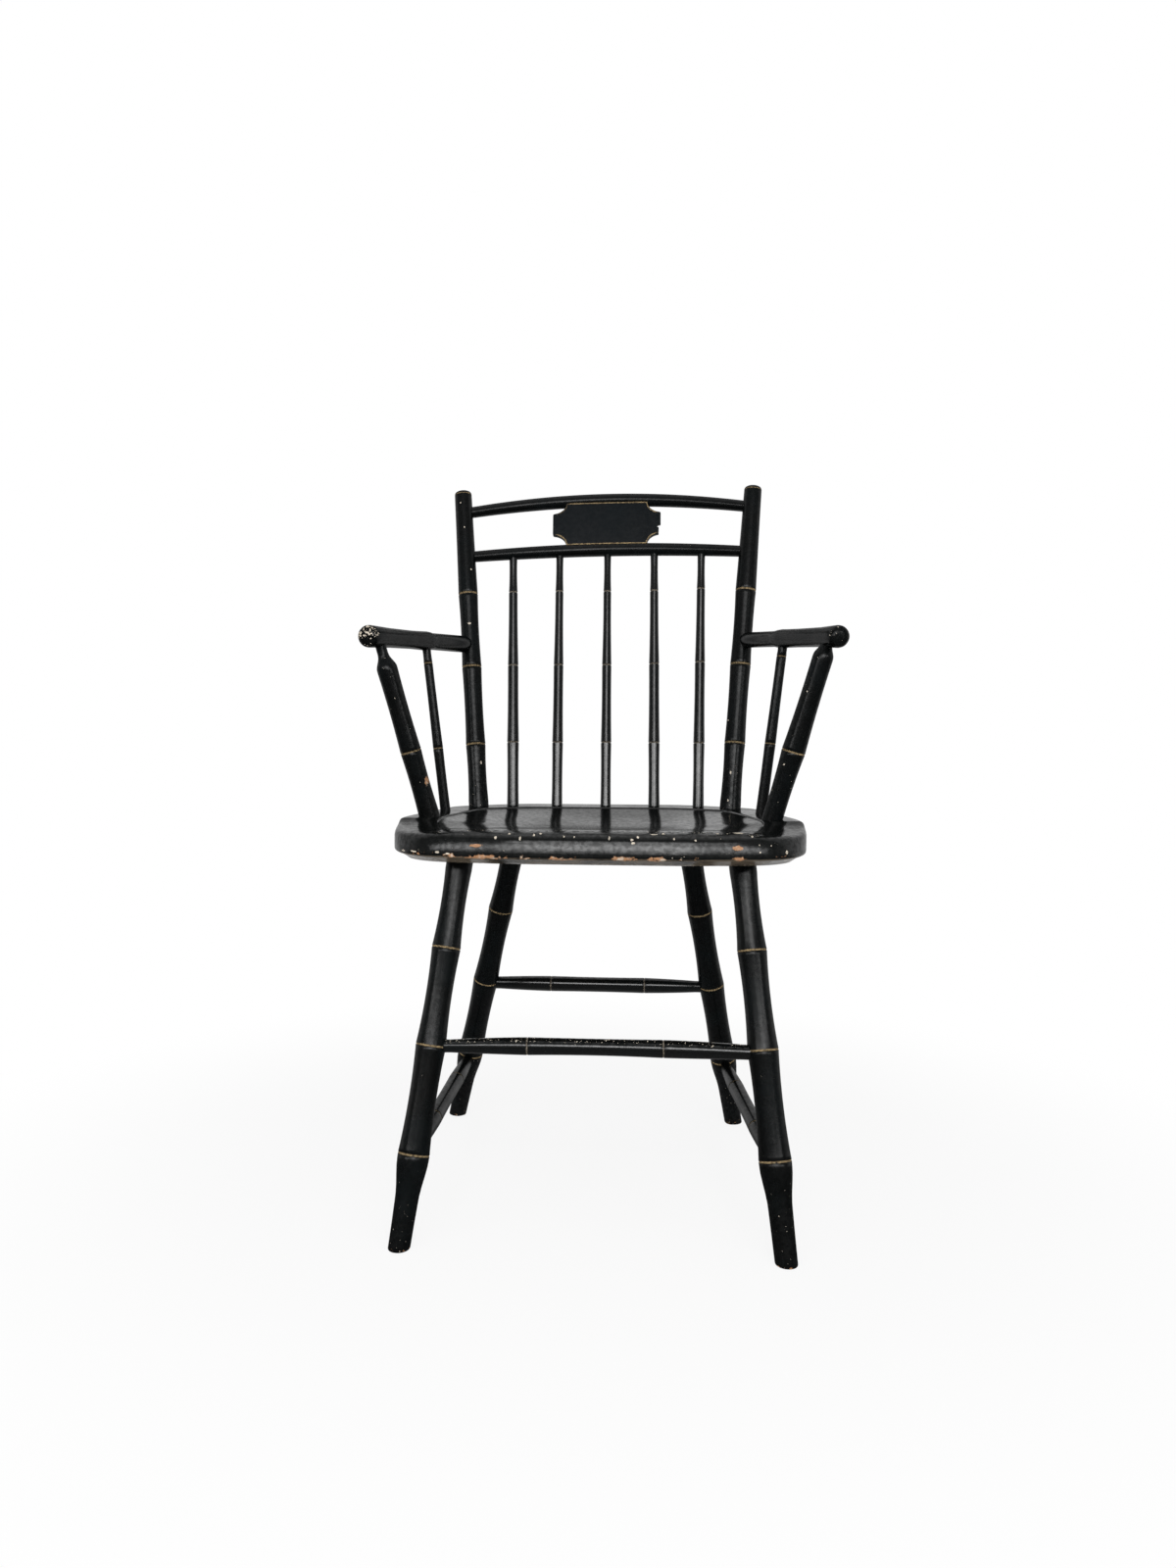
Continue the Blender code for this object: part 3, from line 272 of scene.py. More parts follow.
ROLL_NICKS = metres(
    (-210.8, -155, 416.5, 3, 6, 0.9), (-196.8, -168.7, 417.3, 4.5, 8, 0.9), (-168.7, -183.1, 418.3, 2.2, 6, 1),
    (-157.1, -185.9, 417.2, 2, 6, 1), (-105.4, -188, 435, 1.3, 4, 1.5), (-91, -183.9, 439, 1.3, 3, 0.9),
    (-78.9, -190.3, 434.6, 1.1, 4, 2), (-64.7, -186.6, 438.1, 1.2, 3, 1.3), (-57.9, -183.8, 439.4, 1.5, 3, 0.8),
    (-32.8, -188.3, 437, 0.9, 3, 0.9), (-22, -188.8, 436.5, 0.8, 3, 0.8), (14.7, -189.7, 435.6, 0.9, 3, 1.9),
    (38.5, -190.4, 434.4, 1.7, 3, 1.2), (39.7, -191.8, 431, 2.1, 4, 1.1), (44.7, -188.2, 437.1, 1.4, 3, 1.4),
    (61.5, -182.6, 439.6, 4, 2, 0.9), (71.3, -179.7, 440, 1.7, 3, 1), (82.3, -189.8, 435.5, 0.9, 3, 0.9),
    (104.6, -188.6, 434.1, 1, 4, 1.2), (127.9, -172.3, 440.2, 1.5, 3, 1), (150.8, -166.5, 440.4, 5.4, 4, 1.4),
    (163.9, -175.5, 437.8, 1.3, 3, 1.1), (171.3, -180, 429.3, 0.7, 4, 0.8), (171.9, -181.5, 421.6, 0.9, 4, 0.9),
    (184, -174.8, 428.3, 0.7, 4, 0.8), (201.6, -164.4, 420.4, 1.4, 6, 2.2),
)
FRAME_INKS = (0.0024, 0.0027, 0.0027, 1.0), (0.004, 0.0054, 0.0058, 1.0)
SEAT_INKS = (0.0028, 0.0032, 0.0031, 1.0), (0.005, 0.0058, 0.0056, 1.0)
TABLET_INKS = (0.0022, 0.0036, 0.0048, 1.0), (0.0032, 0.0052, 0.0066, 1.0)
FRAME_PAINT = black_paint("frame_paint", FRAME_INKS, 0.32, 0.23, chips=POST_CHIPS, nicks=POST_NICKS)
SPINDLE_PAINT = black_paint("spindle_paint", FRAME_INKS, 0.8, 0.15, lines=PALE_LINES)
SEAT_PAINT = black_paint("seat_paint", SEAT_INKS, 0.57, 0.16, 2.6, ROLL_CHIPS, ROLL_NICKS)
TABLET_PAINT = black_paint("tablet_paint", TABLET_INKS, 0.17, 0.3)
PEG_PAINT = black_paint("peg_paint", FRAME_INKS, 0.18, 0.34)
print("paints:", [paint.name for paint in (FRAME_PAINT, SPINDLE_PAINT, SEAT_PAINT, TABLET_PAINT, PEG_PAINT)])

# %% [markdown]
# ## Turning on the lathe
# Nearly every piece is turned: a profile is spun about an axis. A chairmaker's bamboo turning swells to
# a scored ring and is drawn in between. So the profile is made from a few known radii, a waist is taken
# off between them, a shallow V is cut at each ring, and bmesh's spin does the turning.

# %% Profiles
PROFILE_STEP = 0.005
# The V of a scored ring: places in shares of its width, cuts in shares of its depth
GROOVE = ((-0.58, 0.0), (-0.5, 0.2), (-0.12, 1.0), (0.12, 1.0), (0.5, 0.2), (0.58, 0.0))


def bamboo(knots, waist):
    """A profile through known places (distance, radius), drawn in between each two of them."""
    knots = sorted(knots)
    profile = []
    for (low, low_radius), (high, high_radius) in zip(knots, knots[1:]):
        steps = max(2, round((high - low) / PROFILE_STEP))
        for step in range(steps):
            share = step / steps
            straight = low_radius + (high_radius - low_radius) * share
            profile.append((low + (high - low) * share, straight - waist * 4.0 * share * (1.0 - share)))
    return profile + [knots[-1]]


def score(profile, rings, width, depth):
    """Cut a V into a profile at each ring."""
    scored = [point for point in profile if all(abs(point[0] - ring) > width for ring, radius in rings)]
    for ring, radius in rings:
        scored += [(ring + share * width, radius - cut * depth) for share, cut in GROOVE]
    return sorted(scored)


def by_height(start, end, stations):
    """Stations given by height, as distances along a leaning axis."""
    scale = (end - start).length / (end.z - start.z)
    return [((height - start.z) * scale, radius) for height, radius in stations]


print("profile step:", PROFILE_STEP)

# %% Lathe
LATHE_SIDES, MERGE = 48, 1e-6
GOLD_SHARE = 0.51
made = []


def outward(shape):
    """Let every face look outward."""
    bmesh.ops.recalc_face_normals(shape, faces=shape.faces)


def turn(profile, rings=(), width=0.0018, depth=0.0005, sides=LATHE_SIDES, strength=1.0):
    """Spin a profile about Z and write its grain and its gold lines on its points."""
    profile = score(profile, rings, width, depth) if rings else sorted(profile)
    shape = bmesh.new()
    radii = [(0.0, profile[0][0]), *((radius, distance) for distance, radius in profile), (0.0, profile[-1][0])]
    line = [shape.verts.new((radius, 0.0, distance)) for radius, distance in radii]
    for first, second in zip(line, line[1:]):
        shape.edges.new((first, second))
    bmesh.ops.spin(
        shape, geom=[*shape.verts, *shape.edges], cent=(0, 0, 0), axis=(0, 0, 1), dvec=(0, 0, 0),
        angle=math.tau, steps=sides, use_merge=True, use_duplicate=False,
    )
    bmesh.ops.remove_doubles(shape, verts=shape.verts, dist=MERGE)
    outward(shape)
    grain = shape.verts.layers.float_vector.new("grain")
    gold = shape.verts.layers.float.new("gold")
    for vertex in shape.verts:
        vertex[grain] = vertex.co + Vector((0.0, 0.0, len(made)))
        vertex[gold] = strength * any(abs(vertex.co.z - ring) < GOLD_SHARE * width for ring, radius in rings)
    return shape


def stand(shape, start, end):
    """Carry a turned shape from the lathe to its place between two points."""
    turned_to = (end - start).to_track_quat("Z", "Y").to_matrix().to_4x4()
    bmesh.ops.transform(shape, matrix=Matrix.Translation(start) @ turned_to, verts=shape.verts)


def turn_leaning(start, end, shafts, ends, rings, **cut):
    """Turn a leaning member from shafts (knots, waist) and ends given by height, and put it in its place."""
    profile = by_height(start, end, ends)
    for knots, waist in shafts:
        profile += bamboo(by_height(start, end, knots), waist)
    shape = turn(profile, by_height(start, end, rings), **cut)
    stand(shape, start, end)
    return shape


print("lathe sides:", LATHE_SIDES)

# %% Rubbing and finishing
SHARP_ANGLE = math.radians(40)


def rub(shape, layer, amount):
    """Write on each point how much it is rubbed: one amount, or one by its place and the way it faces."""
    shape.normal_update()
    written = shape.verts.layers.float.new(layer)
    for vertex in shape.verts:
        vertex[written] = amount(vertex.co, vertex.normal) if callable(amount) else amount


def new_object(name, data):
    """A new object in the scene."""
    thing = bpy.data.objects.new(name, data)
    bpy.context.scene.collection.objects.link(thing)
    return thing


def as_object(name, shape):
    """A shape as an object in the scene."""
    mesh = bpy.data.meshes.new(name)
    shape.to_mesh(mesh)
    shape.free()
    return new_object(name, mesh)


def finish(node, shape, fleck, wear=0.0, paint=FRAME_PAINT):
    """Rub a shape and turn it into a piece that stands for its CAD node."""
    rub(shape, "wear", wear)
    rub(shape, "fleck", fleck)
    piece = as_object(node + "_painted", shape)
    piece.data.materials.append(paint)
    piece.data.shade_smooth()
    piece.data.set_sharp_from_angle(angle=SHARP_ANGLE)
    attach(piece, "root")
    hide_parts(node)
    made.append(piece)
    return piece


print("edges over %.0f degrees stay sharp" % math.degrees(SHARP_ANGLE))

# %% [markdown]
# ## Legs
# Four raked and splayed legs. Below the lowest ring each drops quickly to a slim ankle. A foot is sawn
# level with the floor, so the turned shape is cut by a plane, closed, and its edge is worn round.

# %% Legs
LEG_TENON, LEG_COLLAR, LEG_MOUTH = 0.015, 0.014, 0.002
LEG_RINGS = ((0.306, 0.0161), (0.2035, 0.0167), (0.095, 0.0172))
LEG_TOP_WAIST, LEG_WAIST = 0.0017, 0.002
ANKLE = metres(
    (-48, 12.6), (-40.5, 12.85), (-31, 13.9), (-21.5, 15.4), (-12, 16.7), (-6, 17.1),
)
SOLE, FOOT, FOOT_ROUND = 0.0116, ((0.004, 0.0118), (0.025, 0.0121)), 0.0016
PAST_FOOT, PAST_MOUTH = 0.02, 0.022
# Foot, mouth in the plank, and how far the rings, marked by hand, lie off the common heights
LEGS = {
    "front_left": ((-0.2045, -0.218), (-0.1545, -0.108), (0.0, 0.0, -0.0018)),
    "rear_left": ((-0.207, 0.215), (-0.1127, 0.095), (0.004, 0.0044, 0.004)),
    "front_right": ((0.2, -0.218), (0.16, -0.108), (0.003, 0.004, 0.0036)),
    "rear_right": ((0.1816, 0.215), (0.1105, 0.095), (0.0046, 0.004, 0.004)),
}
LEG_AXES = {which: (spot(*foot, 0.0), spot(*mouth, UNDERSIDE)) for which, (foot, mouth, lifts) in LEGS.items()}


def saw_level(shape):
    """Saw a foot level with the floor and wear its edge round."""
    everything = [*shape.verts, *shape.edges, *shape.faces]
    bmesh.ops.bisect_plane(shape, geom=everything, plane_co=(0, 0, 0), plane_no=(0, 0, 1), clear_inner=True)
    bmesh.ops.edgeloop_fill(shape, edges=[edge for edge in shape.edges if edge.is_boundary])
    rim = [edge for edge in shape.edges if max(abs(vertex.co.z) for vertex in edge.verts) < MERGE]
    bmesh.ops.bevel(
        shape, geom=rim, offset=FOOT_ROUND, offset_type="OFFSET", affect="EDGES", segments=3, profile=0.5, material=-1,
    )
    outward(shape)


def leg(which):
    """One leg, from its level foot up into the plank."""
    foot, mouth = LEG_AXES[which]
    start, top = past(mouth, foot, PAST_FOOT), past(foot, mouth, PAST_MOUTH)
    rings = [(height + lift, radius) for (height, radius), lift in zip(LEG_RINGS, LEGS[which][2])]
    shafts = ([(UNDERSIDE - LEG_COLLAR, LEG_TENON), rings[0]], LEG_TOP_WAIST), (rings, LEG_WAIST)
    ends = [(start.z, SOLE), *FOOT, (UNDERSIDE + LEG_MOUTH, LEG_TENON), (top.z, LEG_TENON)]
    ends += [(rings[2][0] + below, radius) for below, radius in ANKLE]
    shape = turn_leaning(start, top, shafts, ends, rings)
    saw_level(shape)
    return finish(
        "leg_" + which, shape,
        fleck=lambda place, facing: 0.3 + 0.22 * ease(0.15, 0.05, place.z),
        wear=lambda place, facing: 0.5 * ease(0.008, 0.0, place.z),
    )


for which in LEGS:
    leg(which)
print("legs:", sorted(LEGS))

# %% [markdown]
# ## Stretchers
# The stretchers run from ring to ring: the front and back ones at the middle rings, the side ones at the
# lowest. They swell to two scored rings. Shoes have scuffed the top of the front one and bent it a little.

# %% Stretchers
# Radii at the first end, the second end, the rings and the middle, then a leg and a height for each end
STRETCHERS = {
    "front": ((0.007, 0.008, 0.0096, 0.0089), ("front_left", 0.2027), ("front_right", 0.2044)),
    "rear": ((0.0082, 0.0076, 0.0102, 0.0098), ("rear_left", 0.2035), ("rear_right", 0.2035)),
    "left": ((0.0074, 0.0074, 0.0098, 0.0093), ("front_left", 0.095), ("rear_left", 0.09)),
    "right": ((0.0074, 0.0074, 0.0098, 0.0093), ("front_right", 0.095), ("rear_right", 0.09)),
}
STRETCHER_RING_SHARES = (0.3, 0.7)
STRETCHER_END, STRETCHER_SWELL, STRETCHER_PAST, STRETCHER_GROOVE = 0.026, 0.0003, 0.004, 0.0016
FRONT_STRETCHER_BOW = 0.0026


def stretcher(way, radii, *joints):
    """One stretcher between two legs."""
    first_radius, second_radius, ring_radius, middle_radius = radii
    first, second = (at_height(*LEG_AXES[which], height) for which, height in joints)
    start, end = past(second, first, STRETCHER_PAST), past(first, second, STRETCHER_PAST)
    length = (end - start).length
    rings = [(length * share, ring_radius) for share in STRETCHER_RING_SHARES]
    profile = [(0.0, first_radius), *bamboo([(STRETCHER_END, first_radius), rings[0]], -STRETCHER_SWELL)]
    profile += bamboo(rings, ring_radius - middle_radius)[1:]
    profile += bamboo([rings[1], (length - STRETCHER_END, second_radius)], -STRETCHER_SWELL)[1:]
    shape = turn([*profile, (length, second_radius)], rings, STRETCHER_GROOVE, strength=0.5)
    if way == "front":
        for vertex in shape.verts:
            share = vertex.co.z / length
            vertex.co.y += FRONT_STRETCHER_BOW * 4.0 * share * (1.0 - share)
    stand(shape, start, end)
    scuff = 0.88 if way == "front" else 0.4
    return finish(
        "stretcher_" + way, shape, paint=FRAME_PAINT if way in SIDES else SPINDLE_PAINT,
        fleck=lambda place, facing: scuff * ease(0.35, 0.95, facing.z - 0.2 * facing.y),
    )


for way, plan in STRETCHERS.items():
    stretcher(way, *plan)
print("stretchers:", list(STRETCHERS))

# %% [markdown]
# ## Back posts and spindles
# The posts lean back and out and end in a worn, rounded top. The spindles thicken towards the seat. Both
# are scored at the same three heights, so the gold lines run across the whole back.

# %% Plan of the seat's edge, and the posts' axes
SEAT_WIDEST, SEAT_WIDEST_Y = 0.476, -0.055
SEAT_BACK_WIDTH, BACK_CORNER_Y, BACK_FLAT = 0.402, 0.14, 0.23
POST_Y, POST_INSET, POST_TOP = SEAT_BACK - 0.0625, 0.0355, 0.877
POST_SPLAY, POST_RAKE = 0.0326, 0.08


def side_edge(y):
    """Half the seat's width behind its widest place."""
    share = (y - SEAT_WIDEST_Y) / (BACK_CORNER_Y - SEAT_WIDEST_Y)
    return (SEAT_WIDEST + (SEAT_BACK_WIDTH - SEAT_WIDEST) * share) / 2


def back_edge(x):
    """Depth of the seat's back edge."""
    run = (SEAT_BACK_WIDTH - BACK_FLAT) / 2
    return SEAT_BACK - (SEAT_BACK - BACK_CORNER_Y) * max(0.0, abs(x) - BACK_FLAT / 2) / run


POST_AXES = {}
for side, sign in SIDES.items():
    base = spot(sign * (side_edge(POST_Y) - POST_INSET), POST_Y, DECK)
    POST_AXES[side] = (base, base + Vector((sign * POST_SPLAY, POST_RAKE, POST_TOP - DECK)))
print("post tops:", {side: [round(v, 4) for v in axis[1]] for side, axis in POST_AXES.items()})

# %% Back posts
BACK_RING_HEIGHTS = (0.738, 0.637, 0.531)
# For each side: how far the rings sink, how much shorter the post is, its radius
BACK_POSTS = {
    "left": ((0.0064, 0.0056, 0.0044), 0.0013, 0.0132),
    "right": ((0.004, 0.0031, 0.0013), 0.0, 0.0136),
}
POST_WAIST, POST_TOP_WAIST = 0.001, 0.0002
POST_TENON, POST_COLLAR, POST_GROOVE, POST_NECK = 0.026, 0.008, 0.0022, (0.004, 0.0118)
CROWN = metres(
    (-8, 11.7), (-5.3, 11.7), (-5, 11.7), (-4.3, 11.6), (-4, 11.6), (-2.6, 11.2), (-1.4, 10.3), (-0.6, 8.9),
    (0, 6),
)
CROWN_LINE = (0.0042, 0.0052)


def back_post(side):
    """One post, from its socket to its crown."""
    sinks, short, stout = BACK_POSTS[side]
    base, top = POST_AXES[side]
    start, top = past(top, base, POST_TENON), past(base, top, -short)
    rings = [(height - sink, stout) for height, sink in zip(BACK_RING_HEIGHTS, sinks)]
    crown = [(top.z + below, radius) for below, radius in CROWN]
    neck = (crown[0][0] - POST_NECK[0], POST_NECK[1])
    shafts = ([(DECK + POST_COLLAR, stout), *rings], POST_WAIST), ([rings[0], neck], POST_TOP_WAIST)
    shape = turn_leaning(start, top, shafts, [(start.z, stout), *crown], rings, width=POST_GROOVE, strength=0.75)
    gold = shape.verts.layers.float["gold"]
    axis = (top - base).normalized()
    for vertex in shape.verts:
        if CROWN_LINE[0] < (top - vertex.co).dot(axis) < CROWN_LINE[1]:
            vertex[gold] = 0.7
    return finish(
        "back_post_" + side, shape,
        fleck=lambda place, facing: 0.28 + 0.24 * ease(0.56, 0.46, place.z),
    )


for side in SIDES:
    back_post(side)
print("pieces so far:", len(made))

# %% Crest rods: the path that both of them follow
UPPER_ROD, LOWER_ROD = (0.847, 0.0201), (0.7856, 0.0113)
ROD_BOW, ROD_TILT = 0.035, 0.0021


def rod_point(rod, share):
    """A place on a rod, from -1 in the left post to 1 in the right one."""
    height, rise = rod
    end = at_height(*POST_AXES["right"], height)
    arch = 1.0 - share * share
    return Vector((end.x * share, end.y + ROD_BOW * arch, height + rise * arch + ROD_TILT * share))


print("upper rod's middle:", [round(v, 4) for v in rod_point(UPPER_ROD, 0.0)])

# %% Back spindles
SPINDLE_RINGS, SPINDLE_BASE, SPINDLE_HEAD = (0.0053, 0.0064, 0.0071), 0.007, 0.0048
SPINDLE_SPACING, ROD_SPACING, SPINDLE_INSET = 0.0629, 0.065, 0.025
SPINDLE_TENON, SPINDLE_COLLAR, SPINDLE_NECK, SPINDLE_SIDES = 0.02, 0.004, 0.01, 32
LOW_RING_SINK, PAST_ROD = 0.0015, 0.001
# For each spindle from the left: stray of its base and of its head, stoutness, sinks of its upper rings
SPINDLES = (
    (0.0022, 0.0013, 1.14, 0.0018, 0.0022),
    (-0.0012, 0.0003, 1.05, 0.0, 0.0013),
    (0.0021, 0.0016, 1.01, 0.0, 0.0013),
    (0.0044, 0.001, 1.09, 0.0, 0.0),
    (0.0003, 0.0, 1.07, -0.0013, -0.0018),
)


def slim_spindle(base, head, past_head, rings, base_radius, head_radius, waist, **cut):
    """Turn a spindle from the deck to a rail."""
    start, end = past(head, base, SPINDLE_TENON), past(base, head, past_head)
    knots = [(DECK + SPINDLE_COLLAR, base_radius), *rings, (head.z - SPINDLE_NECK, head_radius)]
    ends = [(start.z, base_radius), (end.z, head_radius)]
    return turn_leaning(start, end, [(knots, waist)], ends, rings, sides=SPINDLE_SIDES, strength=0.5, **cut)


def back_spindle(number, base_stray, head_stray, stout, *sinks):
    """One back spindle, counted from the left."""
    place = number - 3
    base_x = place * SPINDLE_SPACING + base_stray
    base = spot(base_x, back_edge(base_x) - SPINDLE_INSET, DECK)
    head = rod_point(LOWER_ROD, (place * ROD_SPACING + head_stray) / rod_point(LOWER_ROD, 1.0).x)
    marks = zip(BACK_RING_HEIGHTS, SPINDLE_RINGS, (*sinks, LOW_RING_SINK))
    rings = [(height - sink, stout * radius) for height, radius, sink in marks]
    radii = stout * SPINDLE_BASE, stout * SPINDLE_HEAD
    shape = slim_spindle(base, head, PAST_ROD, rings, *radii, waist=0.0004, width=0.002, depth=0.0007)
    return finish("back_spindle_%d" % number, shape, 0.15, paint=SPINDLE_PAINT)


for number, plan in enumerate(SPINDLES, 1):
    back_spindle(number, *plan)
print("pieces so far:", len(made))

# %% [markdown]
# ## Tablet
# The small board between the rods has hollow corners and an ear at each end. Its outline is sliced into
# strips so that it can bend with the rods, and extruded to a board. Insets on the front leave a narrow
# border that carries the gold line. The same board, drawn forward, is also the shape that the maker pared
# off the rods, so one helper makes both.

# %% The flat board
TABLET_THICK, TABLET_FRONT = 0.009, 0.0058
PANEL, REACH, EAR, EAR_ROUND = 0.056, 0.0745, 0.015, 0.0018
CORNER_STEPS, STRIPS, STRIP_WIDTH = 10, 6, 0.0095


def tablet_outline(half_height):
    """The board's outline with hollow corners."""
    soft = 0.3 * EAR_ROUND
    ear = [(REACH, EAR - EAR_ROUND), (REACH - soft, EAR - soft), (REACH - EAR_ROUND, EAR)]
    outline = []
    for x_sign, z_sign, order in ((1, 1, 1), (-1, 1, -1), (-1, -1, 1), (1, -1, -1)):
        corner = list(ear)
        for step in range(1, CORNER_STEPS + 1):
            angle = math.pi / 2 * step / CORNER_STEPS
            x = REACH - (REACH - PANEL) * math.sin(angle)
            corner.append((x, half_height - (half_height - EAR) * math.cos(angle)))
        outline += [(x_sign * x, z_sign * z) for x, z in corner[::order]]
    return outline


def flat_board(half_height, thickness):
    """The board before it is bent, and its front faces."""
    shape = bmesh.new()
    shape.faces.new([shape.verts.new((x, TABLET_THICK - TABLET_FRONT, z)) for x, z in tablet_outline(half_height)])
    for step in range(-STRIPS, STRIPS + 1):
        everything = [*shape.verts, *shape.edges, *shape.faces]
        bmesh.ops.bisect_plane(shape, geom=everything, plane_co=(step * STRIP_WIDTH, 0, 0), plane_no=(1, 0, 0))
    raised = bmesh.ops.extrude_face_region(shape, geom=list(shape.faces))["geom"]
    lifted = [item for item in raised if isinstance(item, bmesh.types.BMVert)]
    bmesh.ops.translate(shape, verts=lifted, vec=(0.0, -thickness, 0.0))
    outward(shape)
    return shape, [item for item in raised if isinstance(item, bmesh.types.BMFace)]


print("points round the tablet:", len(tablet_outline(0.03)))

# %% Bending and paring
ROD_RADIUS, ROD_END_RADIUS = 0.009, 0.0073
TABLET_LAP, TABLET_SEAT = 0.0045, 0.0024
upper, lower = rod_point(UPPER_ROD, 0.0), rod_point(LOWER_ROD, 0.0)
TABLET_UPRIGHT = (upper - lower).normalized()
top = upper - TABLET_UPRIGHT * (ROD_RADIUS - TABLET_LAP)
bottom = lower + TABLET_UPRIGHT * (ROD_RADIUS - TABLET_SEAT)
TABLET_MIDDLE, TABLET_HALF_HEIGHT = (top + bottom) / 2, (top - bottom).length / 2
HALF_SPAN = rod_point(UPPER_ROD, 1.0).x


def bend_board(shape):
    """Bend a flat board with the rods and carry it to its place."""
    droop = (UPPER_ROD[1] + LOWER_ROD[1]) / 2
    for vertex in shape.verts:
        share = vertex.co.x / HALF_SPAN
        vertex.co.y -= ROD_BOW * share * share
        vertex.co.z += ROD_TILT * share - droop * share * share
    lean = Vector((0.0, 0.0, 1.0)).rotation_difference(TABLET_UPRIGHT).to_matrix()
    bmesh.ops.rotate(shape, verts=shape.verts, matrix=lean, cent=(0, 0, 0))
    bmesh.ops.translate(shape, verts=shape.verts, vec=TABLET_MIDDLE)
    outward(shape)


def pare(piece, shape):
    """Cut a shape off a piece for good."""
    cutter = as_object("pared_off", shape)
    paring = piece.modifiers.new("paring", "BOOLEAN")
    paring.operation, paring.object, paring.solver = "DIFFERENCE", cutter, "EXACT"
    pared = bpy.data.meshes.new_from_object(piece.evaluated_get(bpy.context.evaluated_depsgraph_get()))
    piece.modifiers.clear()
    piece.data = pared
    pared.set_sharp_from_angle(angle=SHARP_ANGLE)
    bpy.data.objects.remove(cutter, do_unlink=True)


print("tablet height: %.4f" % (2.0 * TABLET_HALF_HEIGHT))

# %% Tablet
GOLD_BORDER, GOLD_INSET = (0.0002, 0.0002, 0.0013, 0.0002), 2
EAR_BARE, RUBBED_CORNER = REACH - 0.006, 0.002 - PANEL


def tablet():
    """The tablet, with its gold border."""
    shape, front = flat_board(TABLET_HALF_HEIGHT, TABLET_THICK)
    gold = shape.verts.layers.float.new("gold")
    grain = shape.verts.layers.float_vector.new("grain")
    borders = [
        bmesh.ops.inset_region(shape, faces=front, thickness=width, use_boundary=True, use_even_offset=True)["faces"]
        for width in GOLD_BORDER
    ]
    for vertex in {vertex for face in borders[GOLD_INSET] for vertex in face.verts}:
        rubbed = vertex.co.x < RUBBED_CORNER and vertex.co.z > 0.0
        vertex[gold] = 0.0 if abs(vertex.co.x) > EAR_BARE else 0.25 if rubbed else 1.0
    for vertex in shape.verts:
        vertex[grain] = Vector((vertex.co.z, vertex.co.y, vertex.co.x + len(made)))
    bend_board(shape)
    return finish(
        "tablet", shape, paint=TABLET_PAINT,
        fleck=lambda place, facing: 0.25 + 0.4 * ease(0.064, 0.072, place.x),
    )


board = tablet()
print("tablet faces, whole:", len(board.data.polygons))

# %% The broken ear
BREAK = TABLET_MIDDLE + Vector((REACH, -ROD_BOW * (REACH / HALF_SPAN) ** 2, -0.005))
NOTCH, CORNER, CORNER_OFF = (0.006, 0.02, 0.0026), (0.01, 0.04, 0.02), Vector((0.0024, 0.0, -0.0105))
for make, settings, size, place in (
    (bmesh.ops.create_icosphere, {"subdivisions": 1, "radius": 1.0}, NOTCH, BREAK),
    (bmesh.ops.create_cube, {"size": 1.0}, CORNER, BREAK + CORNER_OFF),
):
    shape = bmesh.new()
    make(shape, **settings)
    bmesh.ops.scale(shape, vec=size, verts=shape.verts)
    bmesh.ops.translate(shape, vec=place, verts=shape.verts)
    outward(shape)
    pare(board, shape)
print("tablet faces:", len(board.data.polygons))

# %% [markdown]
# ## Crest rods
# A rod was turned straight, steamed and bent over a form. It is made the same way: spun straight, with
# many rings along it, and then each ring is carried to its place on the bent path. The seat of the tablet
# is pared off afterwards, on the upper rod right through to its front.

# %% Crest rods
ROD_STEPS, ROD_SIDES, ROD_PAST, ROD_GLANCE = 96, 40, 0.004, 0.01
PARED_FIT, PARED_FORWARD = 0.0002, {"upper_rod": 0.02, "lower_rod": 0.0}
RODS = {"upper_rod": UPPER_ROD, "lower_rod": LOWER_ROD}


def crest_rod(node, rod):
    """One bent rod between the posts."""
    half = rod_point(rod, 1.0).x
    last = 1.0 + ROD_PAST / half
    shares = [last * (2.0 * step / ROD_STEPS - 1.0) for step in range(ROD_STEPS + 1)]
    taper = ROD_END_RADIUS - ROD_RADIUS
    shape = turn([(share, ROD_RADIUS + taper * share * share) for share in shares], sides=ROD_SIDES)
    grain = shape.verts.layers.float_vector["grain"]
    for vertex in shape.verts:
        share = vertex.co.z
        vertex[grain] = Vector((vertex.co.x, vertex.co.y, share * half + len(made)))
        run = (rod_point(rod, share + ROD_GLANCE) - rod_point(rod, share - ROD_GLANCE)).normalized()
        across = Vector((0, 0, 1)).cross(run).normalized()
        vertex.co = rod_point(rod, share) + across * vertex.co.x + run.cross(across) * vertex.co.y
    outward(shape)
    return finish(node, shape, 0.25)


for node, rod in RODS.items():
    waste = flat_board(TABLET_HALF_HEIGHT + PARED_FIT, TABLET_THICK + PARED_FORWARD[node])[0]
    bend_board(waste)
    pare(crest_rod(node, rod), waste)
    print(node, "faces:", len(made[-1].data.polygons))

# %% [markdown]
# ## Arms, arm posts and arm spindles
# Each arm is a turned rail with a thick domed nose and one plain swelling, above its spindle. Hands have
# rubbed the top of the nose pale, on the left one most. A stout post with a slim neck carries the arm in
# front, and a slim spindle in the middle.

# %% Arms
# For each side: the nose, the back end's height and how far out it lies, the wear of the nose
ARMS = {
    "left": ((-0.2671, -0.088, 0.6552), 0.6627, 0.0042, 1.3),
    "right": ((0.2677, -0.088, 0.6526), 0.6672, 0.002, 0.72),
}
ARM_STATIONS = {
    "left": metres(
        (16, 12.8), (55, 11.7), (110, 11.3), (143, 11.9), (150, 12.1), (158, 11.7), (166, 10.7), (250, 11.2),
    ),
    "right": metres(
        (16, 12.5), (50, 11.3), (110, 11.1), (146, 11.4), (154, 11.6), (164, 11.1), (176, 9.9), (250, 10.1),
    ),
}
